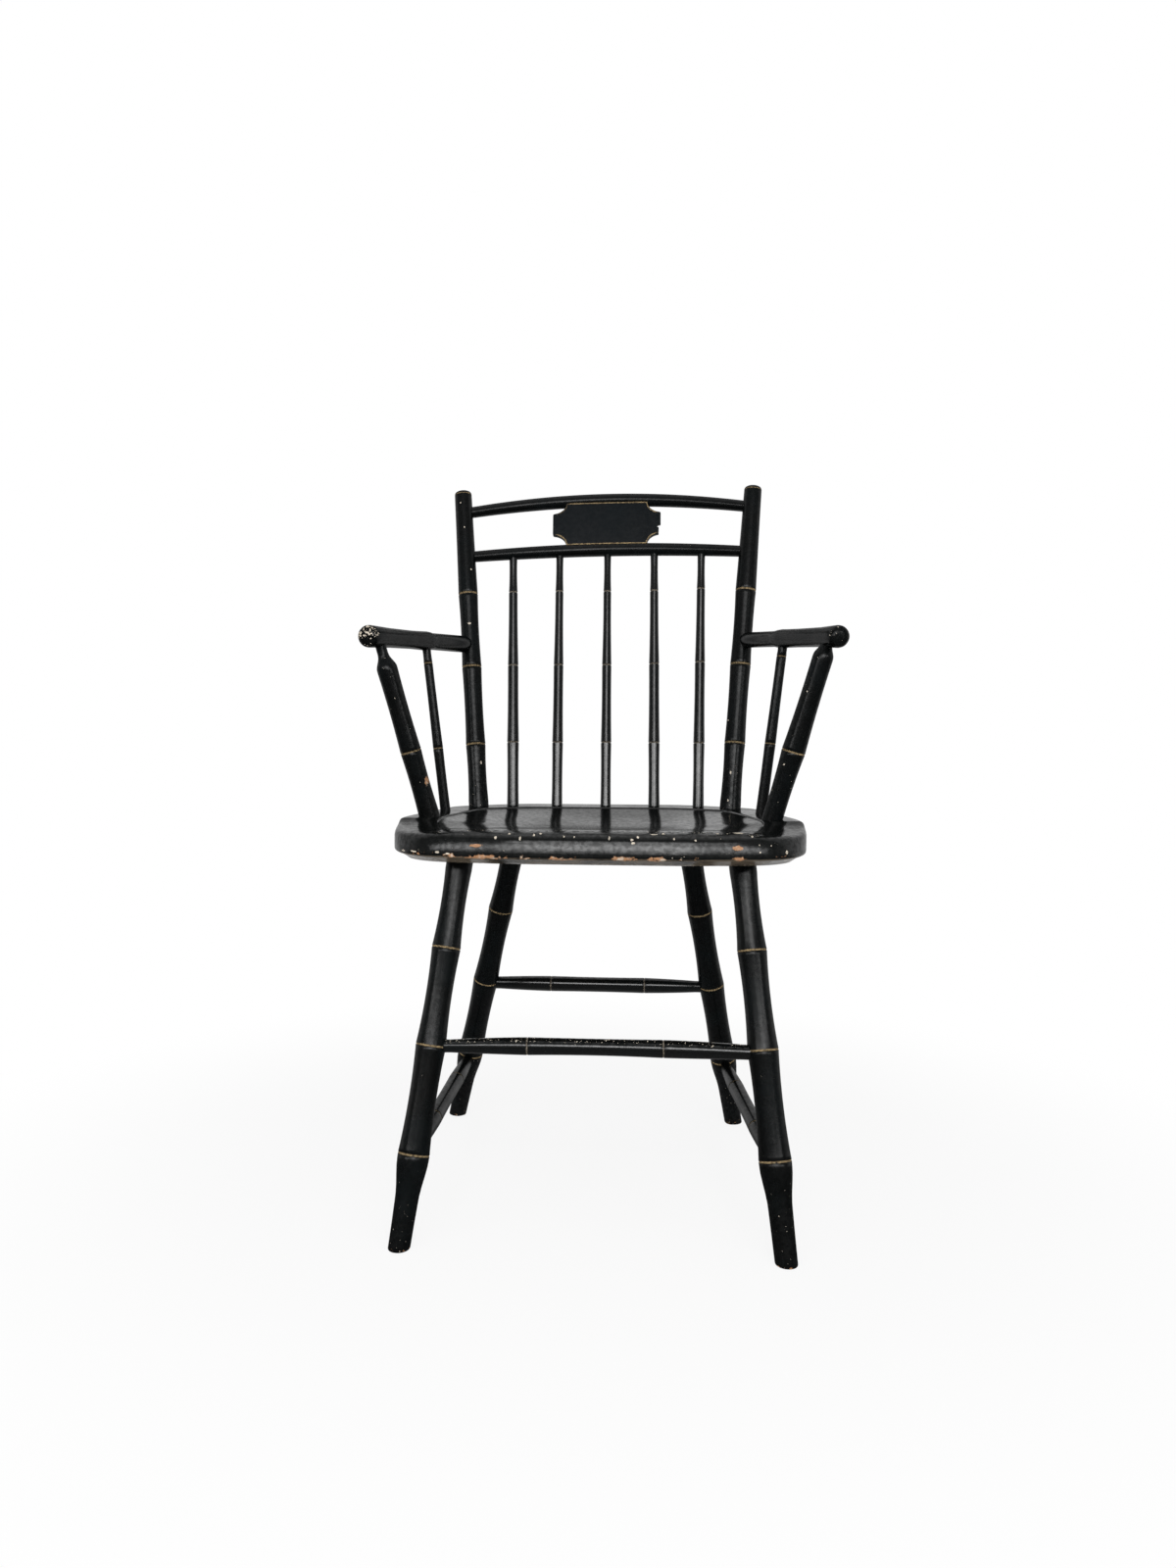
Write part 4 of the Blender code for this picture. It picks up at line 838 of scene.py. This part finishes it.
# How much thinner an arm is at some distances before its end in the post
ARM_END = ((0.016, 0.0), (0.009, 0.0006), (0.004, 0.0018), (0.0, 0.0036))
NOSE_RADIUS = 0.0128
NOSE_CURVE = metres(
    (0, 4.5), (0.4, 7.2), (1.4, 9.6), (3.2, 11.6), (5.8, 12.7), (9, 13),
)


def arm_axis(side):
    """An arm's axis, from its nose to its post."""
    nose, back_height, aside, wear = ARMS[side]
    back = at_height(*POST_AXES[side], back_height)
    return spot(*nose), back + Vector((SIDES[side] * aside, 0.0, 0.0))


def arm_point(side, y):
    """The place on an arm's axis at a drawn depth."""
    nose, back = arm_axis(side)
    return nose.lerp(back, (y + SHIFT - nose.y) / (back.y - nose.y))


def arm(side):
    """One arm."""
    nose, back = arm_axis(side)
    length = (back - nose).length
    stations = ARM_STATIONS[side]
    blunt = stations[0][1] / NOSE_RADIUS
    nose_curve = [(distance, blunt * radius) for distance, radius in NOSE_CURVE]
    end = [(length - before, stations[-1][1] - thinner) for before, thinner in ARM_END]
    shape = turn([*nose_curve, *bamboo(stations, 0.0), *end])
    stand(shape, nose, back)
    way = (back - nose).normalized()

    def flecked(place, facing):
        """The upper half of the nose is flecked most, then the top of the rail."""
        on_nose = ARMS[side][-1] * ease(0.016, 0.004, (place - nose).dot(way))
        on_nose *= 0.5 + 0.5 * ease(-0.006, 0.002, place.z - nose.z)
        return max(on_nose, 0.35 * ease(0.2, 1.0, facing.z))

    return finish("arm_" + side, shape, flecked)


for side in SIDES:
    arm(side)
print("arm lengths:", [round((back - nose).length, 4) for nose, back in map(arm_axis, SIDES)])

# %% Arm posts and arm spindles
PAST_ARM, ARM_POST_Y, ARM_POST_TENON, ARM_POST_COLLAR, ARM_POST_WAIST = 0.002, -0.039, 0.026, 0.008, 0.0008
# For each side: inset of the base, depth of the head, drop of the shoulder, radius, ring, strength of its line
ARM_POSTS = {
    "left": (0.033, -0.0602, 0.0266, 0.0122, (0.5223, 0.0125), 0.6),
    "right": (0.0346, -0.06, 0.0138, 0.0117, (0.524, 0.0136), 0.9),
}
# Heights over the shoulder and radii, from the swelling up to the slim neck
ARM_POST_NECK = metres(
    (-5.5, 11), (-3, 9.8), (0, 8.2), (3, 6.9), (7, 6.3),
)
ARM_POST_TOP, SWELL_END, SHOULDER_START, SHOULDER_THINNER = 0.0062, 0.012, 0.0085, 0.0001
ARM_SPINDLE_Y, ARM_SPINDLE_HEAD_Y, ARM_SPINDLE_INSET = 0.048, 0.0565, 0.0215
# Radii of the base, the rings and the head, then for each side the rings' heights (the upper one's under the
# arm) and the stoutness
ARM_SPINDLE_RADII = 0.0061, 0.006, 0.0053, 0.0051
ARM_SPINDLES = {"left": (0.5238, 0.028, 1.06), "right": (0.5315, 0.0218, 1.12)}


def arm_post(side):
    """The turning under the front of an arm."""
    inset, head_y, drop, stout, ring, strength = ARM_POSTS[side]
    base = spot(SIDES[side] * (side_edge(ARM_POST_Y) - inset), ARM_POST_Y, DECK)
    head = arm_point(side, head_y)
    start, end = past(head, base, ARM_POST_TENON), past(base, head, PAST_ARM)
    shoulder = head.z - drop
    knots = [(DECK + ARM_POST_COLLAR, stout), ring, (shoulder - SWELL_END, stout)]
    ends = [(start.z, stout), (shoulder - SHOULDER_START, stout - SHOULDER_THINNER), (end.z, ARM_POST_TOP)]
    ends += [(shoulder + above, radius) for above, radius in ARM_POST_NECK]
    shape = turn_leaning(start, end, [(knots, ARM_POST_WAIST)], ends, [ring], strength=strength)
    return finish("arm_post_" + side, shape, 0.45)


def arm_spindle(side):
    """The slim spindle under the middle of an arm."""
    ring_height, upper_drop, stout = ARM_SPINDLES[side]
    foot, lower, upper, neck = (stout * radius for radius in ARM_SPINDLE_RADII)
    base = spot(SIDES[side] * (side_edge(ARM_SPINDLE_Y) - ARM_SPINDLE_INSET), ARM_SPINDLE_Y, DECK)
    head = arm_point(side, ARM_SPINDLE_HEAD_Y)
    rings = [(ring_height, lower), (head.z - upper_drop, upper)]
    shape = slim_spindle(base, head, PAST_ARM, rings, foot, neck, waist=0.0003, width=0.0016, depth=0.0004)
    return finish("arm_spindle_" + side, shape, 0.3)


for side in SIDES:
    arm_post(side)
    arm_spindle(side)
print("pieces so far:", len(made))

# %% [markdown]
# ## Pegs
# Small pegs lock the rods and the arms in the posts. Only their ends show, filled over with paint, so
# each is a short turned pin with a domed head.

# %% Pegs
ARM_PEG_HEIGHT, PEG_REACH, PEG_INNER, PEG_OFF, PEG_SIDES = 0.663, 0.0134, 0.006, 0.003, 20
PEG_RADIUS = 0.002
PEG_DOME = ((0.0009, PEG_RADIUS), (0.0005, 0.0018), (0.0002, 0.0013), (0.0, 0.0006))


def peg(node, side, height, tenon_way, driven_from):
    """One peg through a tenon in a post."""
    base, top = POST_AXES[side]
    axis = (top - base).normalized()
    centre = at_height(base, top, height) + tenon_way.normalized() * PEG_OFF
    way = (driven_from - axis * driven_from.dot(axis)).normalized()
    start, end = centre - way * PEG_INNER, centre + way * PEG_REACH
    length = (end - start).length
    dome = [(length - before, radius) for before, radius in PEG_DOME]
    shape = turn([(0.0, PEG_RADIUS), *dome], sides=PEG_SIDES)
    stand(shape, start, end)
    return finish(node, shape, 0.5, paint=PEG_PAINT)


for side, sign in SIDES.items():
    nose, back = arm_axis(side)
    for node, rod in RODS.items():
        peg(node + "_peg_" + side, side, rod[0] + sign * ROD_TILT, Vector((-sign, 0, 0)), Vector((0, 1, 0)))
    peg("arm_peg_" + side, side, ARM_PEG_HEIGHT, nose - back, Vector((sign, 0, 0)))
print("pieces so far:", len(made))

# %% [markdown]
# ## The seat
# One thick plank, sawn to a D, rolled over at the front and hollowed for the sitter, with a flat deck left
# for the posts and spindles. It is drawn up like a bowl: a disc is moved onto the plank's underside, and
# its edge is extruded ring by ring, round the lower edge, over the top and down into the saddle. The shape
# of a ring at the sides and at the front differs, and each point mixes the two by the way it faces.

# %% Outline helpers
def rounded_outline(corners, arc_steps):
    """Points round an outline whose corners (x, y, radius) are rounded."""
    points = []
    for index, (x, y, radius) in enumerate(corners):
        corner = Vector((x, y))
        before = (Vector(corners[index - 1][:2]) - corner).normalized()
        after = (Vector(corners[(index + 1) % len(corners)][:2]) - corner).normalized()
        half_angle = before.angle(after) / 2.0
        centre = corner + (before + after).normalized() * radius / math.sin(half_angle)
        first = corner + before * radius / math.tan(half_angle) - centre
        sweep = first.angle_signed(corner + after * radius / math.tan(half_angle) - centre)
        points += [centre + Matrix.Rotation(-sweep * step / arc_steps, 2) @ first for step in range(arc_steps + 1)]
    return points


def even_points(points, count):
    """The same closed outline with points at equal distances."""
    ahead = points[1:] + points[:1]
    total = sum((there - here).length for here, there in zip(points, ahead))
    spaced, walked, wanted = [], 0.0, 0.0
    for here, there in zip(points, ahead):
        run = (there - here).length
        while wanted < walked + run - 1e-12 and len(spaced) < count:
            spaced.append(here.lerp(there, (wanted - walked) / run))
            wanted += total / count
        walked += run
    return spaced


def with_inward(points):
    """Each point of an outline with the direction into it."""
    runs = [points[(index + 1) % len(points)] - points[index - 1] for index in range(len(points))]
    return [(point, Vector((-run.y, run.x)).normalized()) for point, run in zip(points, runs)]


def points_at_depths(edge, depths):
    """The same edge with points of its own where it passes some depths."""
    marked = []
    for here, there in zip(edge, edge[1:] + edge[:1]):
        marked.append(here)
        rise = there[0].y - here[0].y
        low, high = sorted((here[0].y, there[0].y))
        for share in sorted((depth - here[0].y) / rise for depth in depths if low < depth < high):
            marked.append((here[0].lerp(there[0], share), here[1].lerp(there[1], share).normalized()))
    return marked


print("outline helpers ready")

# %% Outline of the plank
SEAT_POINTS, ARC_STEPS = 288, 24
SEAT_CORNERS = (
    (0.09, SEAT_FRONT, 0.2),
    (0.219, SEAT_FRONT + 0.017, 0.086),
    (SEAT_WIDEST / 2, SEAT_WIDEST_Y, 0.25),
    (SEAT_BACK_WIDTH / 2, BACK_CORNER_Y, 0.055),
    (BACK_FLAT / 2, SEAT_BACK, 0.1),
)
# Here the deck turns down to the front, over a short run that needs points of its own
DECK_END, DECK_END_RUN = -0.062, 0.022
DECK_END_SHARES = (-0.03, 0.0, 0.04, 0.1, 0.2, 0.35, 0.6, 1.0)
all_corners = [*SEAT_CORNERS, *((-x, y, radius) for x, y, radius in reversed(SEAT_CORNERS))]
plank_edge = with_inward(even_points(rounded_outline(all_corners, ARC_STEPS), SEAT_POINTS))
plank_edge = points_at_depths(plank_edge, [DECK_END - DECK_END_RUN * share for share in DECK_END_SHARES])
print("points round the plank:", len(plank_edge))

# %% Rings of the plank
SIDE_BAND, BACK_BAND, BAND_START = 0.046, 0.062, 0.02
DECK_EDGE, DECK_END_FALL = 0.0062, 0.0045
SHOULDER_FALL, SHOULDER_SLOPE = 0.02, 0.25
SEAT_THICK = DECK - UNDERSIDE
# Inset and drop at the sides, then at the front, from the underside up and in
SEAT_RINGS = metres(
    (16, 40, 24, 40), (15.5, 39.7, 23.2, 39.8), (11.8, 36.5, 16, 37.3), (6.5, 32.5, 7.8, 34.4),
    (2.6, 29.6, 2.8, 32.6), (1.3, 28.6, 1.3, 31.9), (0.5, 27.6, 0.5, 31.1), (0.1, 26, 0.1, 30.2),
    (0, 21, 0, 29.2), (0, 14, 0.6, 25), (0, 8, 1.6, 20), (0.4, 5, 2.7, 15.5), (1.1, 3, 3.7, 12.3),
    (2.3, 1.3, 5, 9.7), (4, 0.3, 7.3, 7.4), (6.2, 0, 11.3, 5.6), (9, 0, 18.2, 4.5), (13, 0, 26.2, 4),
    (22, 0, 32.5, 4), (34, 0, 39.5, 4.1), (44.8, 0, 45, 4.3), (46, 0.1, 46, 4.4), (46.5, 0.4, 46.5, 4.5),
    (47.1, 1.1, 47.1, 4.6), (47.7, 1.6, 47.7, 4.7), (48.6, 1.9, 48.6, 4.9),
)


def shoulder_drop(y):
    """How far the top has fallen in front of the deck."""
    share = min(1.0, max(0.0, (DECK_END - y) / (DECK_END - SEAT_FRONT)))
    rounded = 1.0 - math.sqrt(1.0 - share * share)
    return SHOULDER_FALL * (SHOULDER_SLOPE * share + (1.0 - SHOULDER_SLOPE) * rounded)


def seat_ring(ring):
    """The places of one ring."""
    side_inset, side_drop, front_inset, front_drop = ring
    upper = 1.0 - side_drop / SEAT_THICK
    places = []
    for point, normal in plank_edge:
        facing_front, facing_back = max(0.0, normal.y) ** 2, max(0.0, -normal.y) ** 2
        inset = side_inset + (front_inset - side_inset) * facing_front
        inset += (BACK_BAND - SIDE_BAND) * facing_back * ease(BAND_START, SIDE_BAND, side_inset)
        flat = point + normal * inset
        before = min(1.0, max(0.0, (DECK_END - point.y) / DECK_END_RUN))
        turned_down = DECK_END_FALL * (1.0 - (1.0 - before) ** 2)
        fallen = side_drop + turned_down * upper if side_inset < DECK_EDGE else max(side_drop, turned_down)
        fallen += shoulder_drop(flat.y) * upper
        places.append(spot(flat.x, flat.y, DECK - (fallen + (front_drop - fallen) * facing_front)))
    return places


def rounded_ring(places, passes):
    """A ring whose sudden turns are taken off."""
    for number in range(passes):
        ahead, behind = places[1:] + places[:1], places[-1:] + places[:-1]
        places = [0.25 * before + 0.5 * here + 0.25 * after for before, here, after in zip(behind, places, ahead)]
    return places


print("rings up to the saddle:", len(SEAT_RINGS))

# %% Rings of the saddle
SADDLE_DEPTH, SADDLE_MIDDLE, SADDLE_ROUND, SADDLE_STEPS = 0.014, 0.002, Vector((0.165, 0.14)), 24
SADDLE_ROUND_BY = 0.45


def saddle_rings(rim):
    """The places of the rings inside the saddle, which grow round and even towards its middle."""
    middle = spot(0.0, SADDLE_MIDDLE, DECK - SADDLE_DEPTH)
    back, front = max(rim, key=lambda place: place.y), min(rim, key=lambda place: place.y)
    rings = []
    for step in range(1, SADDLE_STEPS + 1):
        share = step / SADDLE_STEPS
        rounded, sink = ease(0.0, SADDLE_ROUND_BY, share), math.sin(share * math.pi / 2)
        ring = []
        for place in rim:
            out = place.xy - middle.xy
            round_way = Vector((out.x / SADDLE_ROUND.x, out.y / SADDLE_ROUND.y)).normalized()
            even = front.z + (back.z - front.z) * ease(front.y, back.y, place.y)
            height = place.z + (even - place.z) * rounded
            flat = middle.xy + out.lerp(round_way * SADDLE_ROUND, rounded) * (1.0 - share)
            ring.append(Vector((*flat, height + (middle.z - height) * sink)))
        rings.append(ring)
    return rings


print("saddle depth:", SADDLE_DEPTH)

# %% Wear of the plank
EDGE_DROP, EDGE_RISE = 0.0306, 0.003
# Middle, half length and strength of the worn patches along the lower front edge
WORN_PATCHES = (
    (-0.195, 0.012, 0.6), (-0.156, 0.008, 0.8), (-0.124, 0.013, 1.0), (-0.105, 0.004, 0.9), (-0.095, 0.003, 0.8),
    (-0.074, 0.006, 0.8), (-0.034, 0.018, 0.8), (0.03, 0.015, 0.8), (0.065, 0.011, 0.8), (0.108, 0.005, 0.7),
    (0.15, 0.008, 0.8), (0.199, 0.004, 0.7),
)
RIDGE_Y = SEAT_FRONT + 0.026


def seat_wear(place, facing):
    """The lower front edge is rubbed through in patches."""
    before = ease(-0.1, -0.15, place.y - SHIFT)
    off_edge = abs(place.z - (DECK - EDGE_DROP) - EDGE_RISE * ease(0.14, 0.21, abs(place.x)))
    patches = max(worth * ease(1.5 * half, 0.5 * half, abs(place.x - x)) for x, half, worth in WORN_PATCHES)
    return before * max(0.42 * ease(0.0018, 0.0004, off_edge), 0.86 * patches * ease(0.005, 0.0008, off_edge))


def seat_flecks(place, facing):
    """The ridge, the roll and the edge are flecked."""
    y = place.y - SHIFT
    ridge = ease(0.011, 0.003, abs(y - RIDGE_Y)) * ease(0.2, 0.17, abs(place.x))
    roll = ease(-0.1, -0.16, y) * ease(0.0, 0.3, facing.z + 0.3)
    return max(0.8 * ridge, 0.45 * roll, 0.25)


print("worn patches:", len(WORN_PATCHES))

# %% The plank
ROUNDING_PASSES, ROUNDING_FROM, ROUNDING_TO, POLE = 70, 0.018, 0.044, 1e-5


def seat():
    """The plank, extruded ring by ring from a disc."""
    rings = []
    for ring in SEAT_RINGS:
        passes = round(ROUNDING_PASSES * ease(ROUNDING_FROM, ROUNDING_TO, ring[0]))
        rings.append(rounded_ring(seat_ring(ring), passes))
    rings += saddle_rings(rings[-1])
    shape = bmesh.new()
    disc = bmesh.ops.create_circle(shape, cap_ends=True, segments=len(plank_edge), radius=1.0)["verts"]
    loop = sorted(disc, key=lambda vertex: math.atan2(vertex.co.y, vertex.co.x))
    for vertex, place in zip(loop, rings[0]):
        vertex.co = place
    edges = list(shape.edges)
    for ring in rings[1:]:
        raised = bmesh.ops.extrude_edge_only(shape, edges=edges)["geom"]
        fresh = {item for item in raised if isinstance(item, bmesh.types.BMVert)}
        edges = [item for item in raised if isinstance(item, bmesh.types.BMEdge) and fresh.issuperset(item.verts)]
        loop = [next(edge.other_vert(old) for edge in old.link_edges if edge.other_vert(old) in fresh) for old in loop]
        for vertex, place in zip(loop, ring):
            vertex.co = place
    bmesh.ops.remove_doubles(shape, verts=loop, dist=POLE)
    outward(shape)
    grain = shape.verts.layers.float_vector.new("grain")
    for vertex in shape.verts:
        vertex[grain] = Vector((vertex.co.y, vertex.co.z, vertex.co.x))
    rub(shape, "raw", lambda place, facing: ease(-0.25, -0.65, facing.z))
    return finish("seat", shape, seat_flecks, seat_wear, SEAT_PAINT)


seat()
print("seat faces:", len(made[-1].data.polygons))

# %% [markdown]
# ## Stage, light and camera
# The floor and the world are plain white to the camera. In the varnish they are a room that is dimmer
# before the chair than behind it, which keeps the black paint black. A wide, low soft panel in front draws
# a grey band down the turnings and along the roll of the seat, like a row of windows. A smaller one makes
# its middle brighter, one above it lights the polished spindles, and a weak one hangs overhead. The camera
# stands a little right of the chair's middle, just above the seat, and its sensor is shifted to frame it.

# %% Floor and world
WHITE, FLOOR_GREY, WORLD_LIGHT = (1.0, 1.0, 1.0, 1.0), (0.9, 0.9, 0.9, 1.0), 0.22
FLOOR_REACH, SHADOW_REACH, SHADOW_CLEAR = 12.0, (0.35, 1.0), 0.88
# Where the mirrored floor (in metres) and room (as a direction) turn bright, and how dim they are before it
FLOOR_TURN, FLOOR_MIRRORED = (-0.1, 0.7), 0.12
ROOM_TURN, ROOM_MIRRORED = (-0.25, 0.15), 0.35


def seen_directly(tree):
    """1 for rays from the camera and from gloss, 0 for plain light."""
    path = add(tree, "ShaderNodeLightPath")
    return calc(tree, "MAXIMUM", path.outputs["Is Camera Ray"], path.outputs["Is Glossy Ray"])


def white_level(tree, place, turn_at, dimmest):
    """1 to the camera. In gloss, dim before the chair and 1 behind it."""
    back = add(tree, "ShaderNodeSeparateXYZ", {0: place}).outputs["Y"]
    camera_ray = add(tree, "ShaderNodeLightPath").outputs["Is Camera Ray"]
    return calc(tree, "MAXIMUM", band(tree, back, *turn_at, dimmest, 1.0), camera_ray)


def show(tree, factor, first, second, output):
    """Send a mix of two shaders to an output."""
    mixed = add(tree, "ShaderNodeMixShader", {0: factor, 1: first.outputs[0], 2: second.outputs[0]})
    tree.links.new(mixed.outputs[0], tree.nodes[output].inputs["Surface"])


shape = bmesh.new()
bmesh.ops.create_grid(shape, x_segments=1, y_segments=1, size=FLOOR_REACH)
floor = as_object("floor", shape)

floor_white = bpy.data.materials.new("floor_white")
floor_white.use_nodes = True
tree = floor_white.node_tree
tree.nodes.remove(tree.nodes["Principled BSDF"])
place = add(tree, "ShaderNodeTexCoord").outputs["Object"]
away = add(tree, "ShaderNodeVectorMath", {0: place}, operation="LENGTH").outputs["Value"]
clear = times(tree, band(tree, away, *SHADOW_REACH, SHADOW_CLEAR, 1.0), seen_directly(tree))
matt = add(tree, "ShaderNodeBsdfDiffuse", {"Color": FLOOR_GREY})
level = white_level(tree, place, FLOOR_TURN, FLOOR_MIRRORED)
glow = add(tree, "ShaderNodeEmission", {"Color": WHITE, "Strength": level})
show(tree, clear, matt, glow, "Material Output")
floor.data.materials.append(floor_white)

world = bpy.data.worlds.new("white_room")
bpy.context.scene.world = world
world.use_nodes = True
tree = world.node_tree
tree.nodes.remove(tree.nodes["Background"])
dim = add(tree, "ShaderNodeBackground", {"Color": WHITE, "Strength": WORLD_LIGHT})
level = white_level(tree, add(tree, "ShaderNodeTexCoord").outputs["Generated"], ROOM_TURN, ROOM_MIRRORED)
bright = add(tree, "ShaderNodeBackground", {"Color": WHITE, "Strength": level})
show(tree, seen_directly(tree), dim, bright, "World Output")
print("floor half width:", FLOOR_REACH)

# %% Lamps
SEAT_MIDDLE = (0.0, 0.0, 0.45)


def soft_panel(name, place, aim, width, height, watts):
    """A large soft lamp that looks at a point."""
    lamp = bpy.data.lights.new(name, "AREA")
    lamp.shape = "RECTANGLE"
    lamp.size, lamp.size_y, lamp.energy = width, height, watts
    holder = new_object(name, lamp)
    holder.location = place
    holder.rotation_mode = "QUATERNION"
    holder.rotation_quaternion = (Vector(aim) - Vector(place)).to_track_quat("-Z", "Y")
    print(name, watts, "W")


soft_panel("wide_panel", (0.0, -2.4, 1.22), SEAT_MIDDLE, 6.4, 0.3, 56.0)
soft_panel("key_panel", (0.25, -2.3, 1.22), SEAT_MIDDLE, 1.0, 0.5, 7.0)
soft_panel("high_panel", (0.1, -2.4, 1.74), SEAT_MIDDLE, 1.8, 0.44, 15.0)
soft_panel("top_panel", (0.0, -0.2, 2.7), (0.0, 0.0, 0.3), 2.2, 2.2, 10.0)

# %% Camera
EYE = spot(0.04, -1.4184, 0.5563)
YAW, PITCH, ROLL = (math.radians(angle) for angle in (4.96, -2.978, -0.131))
PHOTO_WIDTH, PHOTO_HEIGHT, FOCAL_PIXELS, CENTRE_PIXEL = 1200, 1600, 1199.0, 542.8
SENSOR = 36.0
view = bpy.data.cameras.new("view")
view.sensor_fit, view.sensor_width = "AUTO", SENSOR
view.lens = FOCAL_PIXELS / PHOTO_HEIGHT * SENSOR
view.shift_x = (PHOTO_WIDTH / 2 - CENTRE_PIXEL) / PHOTO_HEIGHT
camera = new_object("view", view)
turned = Matrix.Rotation(YAW, 3, "Z") @ Matrix.Rotation(PITCH, 3, "X") @ Matrix.Rotation(ROLL, 3, "Y")
right, forward, up = (turned @ Vector(axis) for axis in ((1, 0, 0), (0, 1, 0), (0, 0, 1)))
camera.matrix_world = Matrix.Translation(EYE) @ Matrix((right, up, -forward)).transposed().to_4x4()
bpy.context.scene.camera = camera
bpy.context.scene.view_settings.view_transform = "Standard"
print("lens: %.2f mm, shift: %.4f" % (view.lens, view.shift_x))

# %% Sizes
print("pieces:", len(made), "triangles:", sum(len(p.vertices) - 2 for piece in made for p in piece.data.polygons))
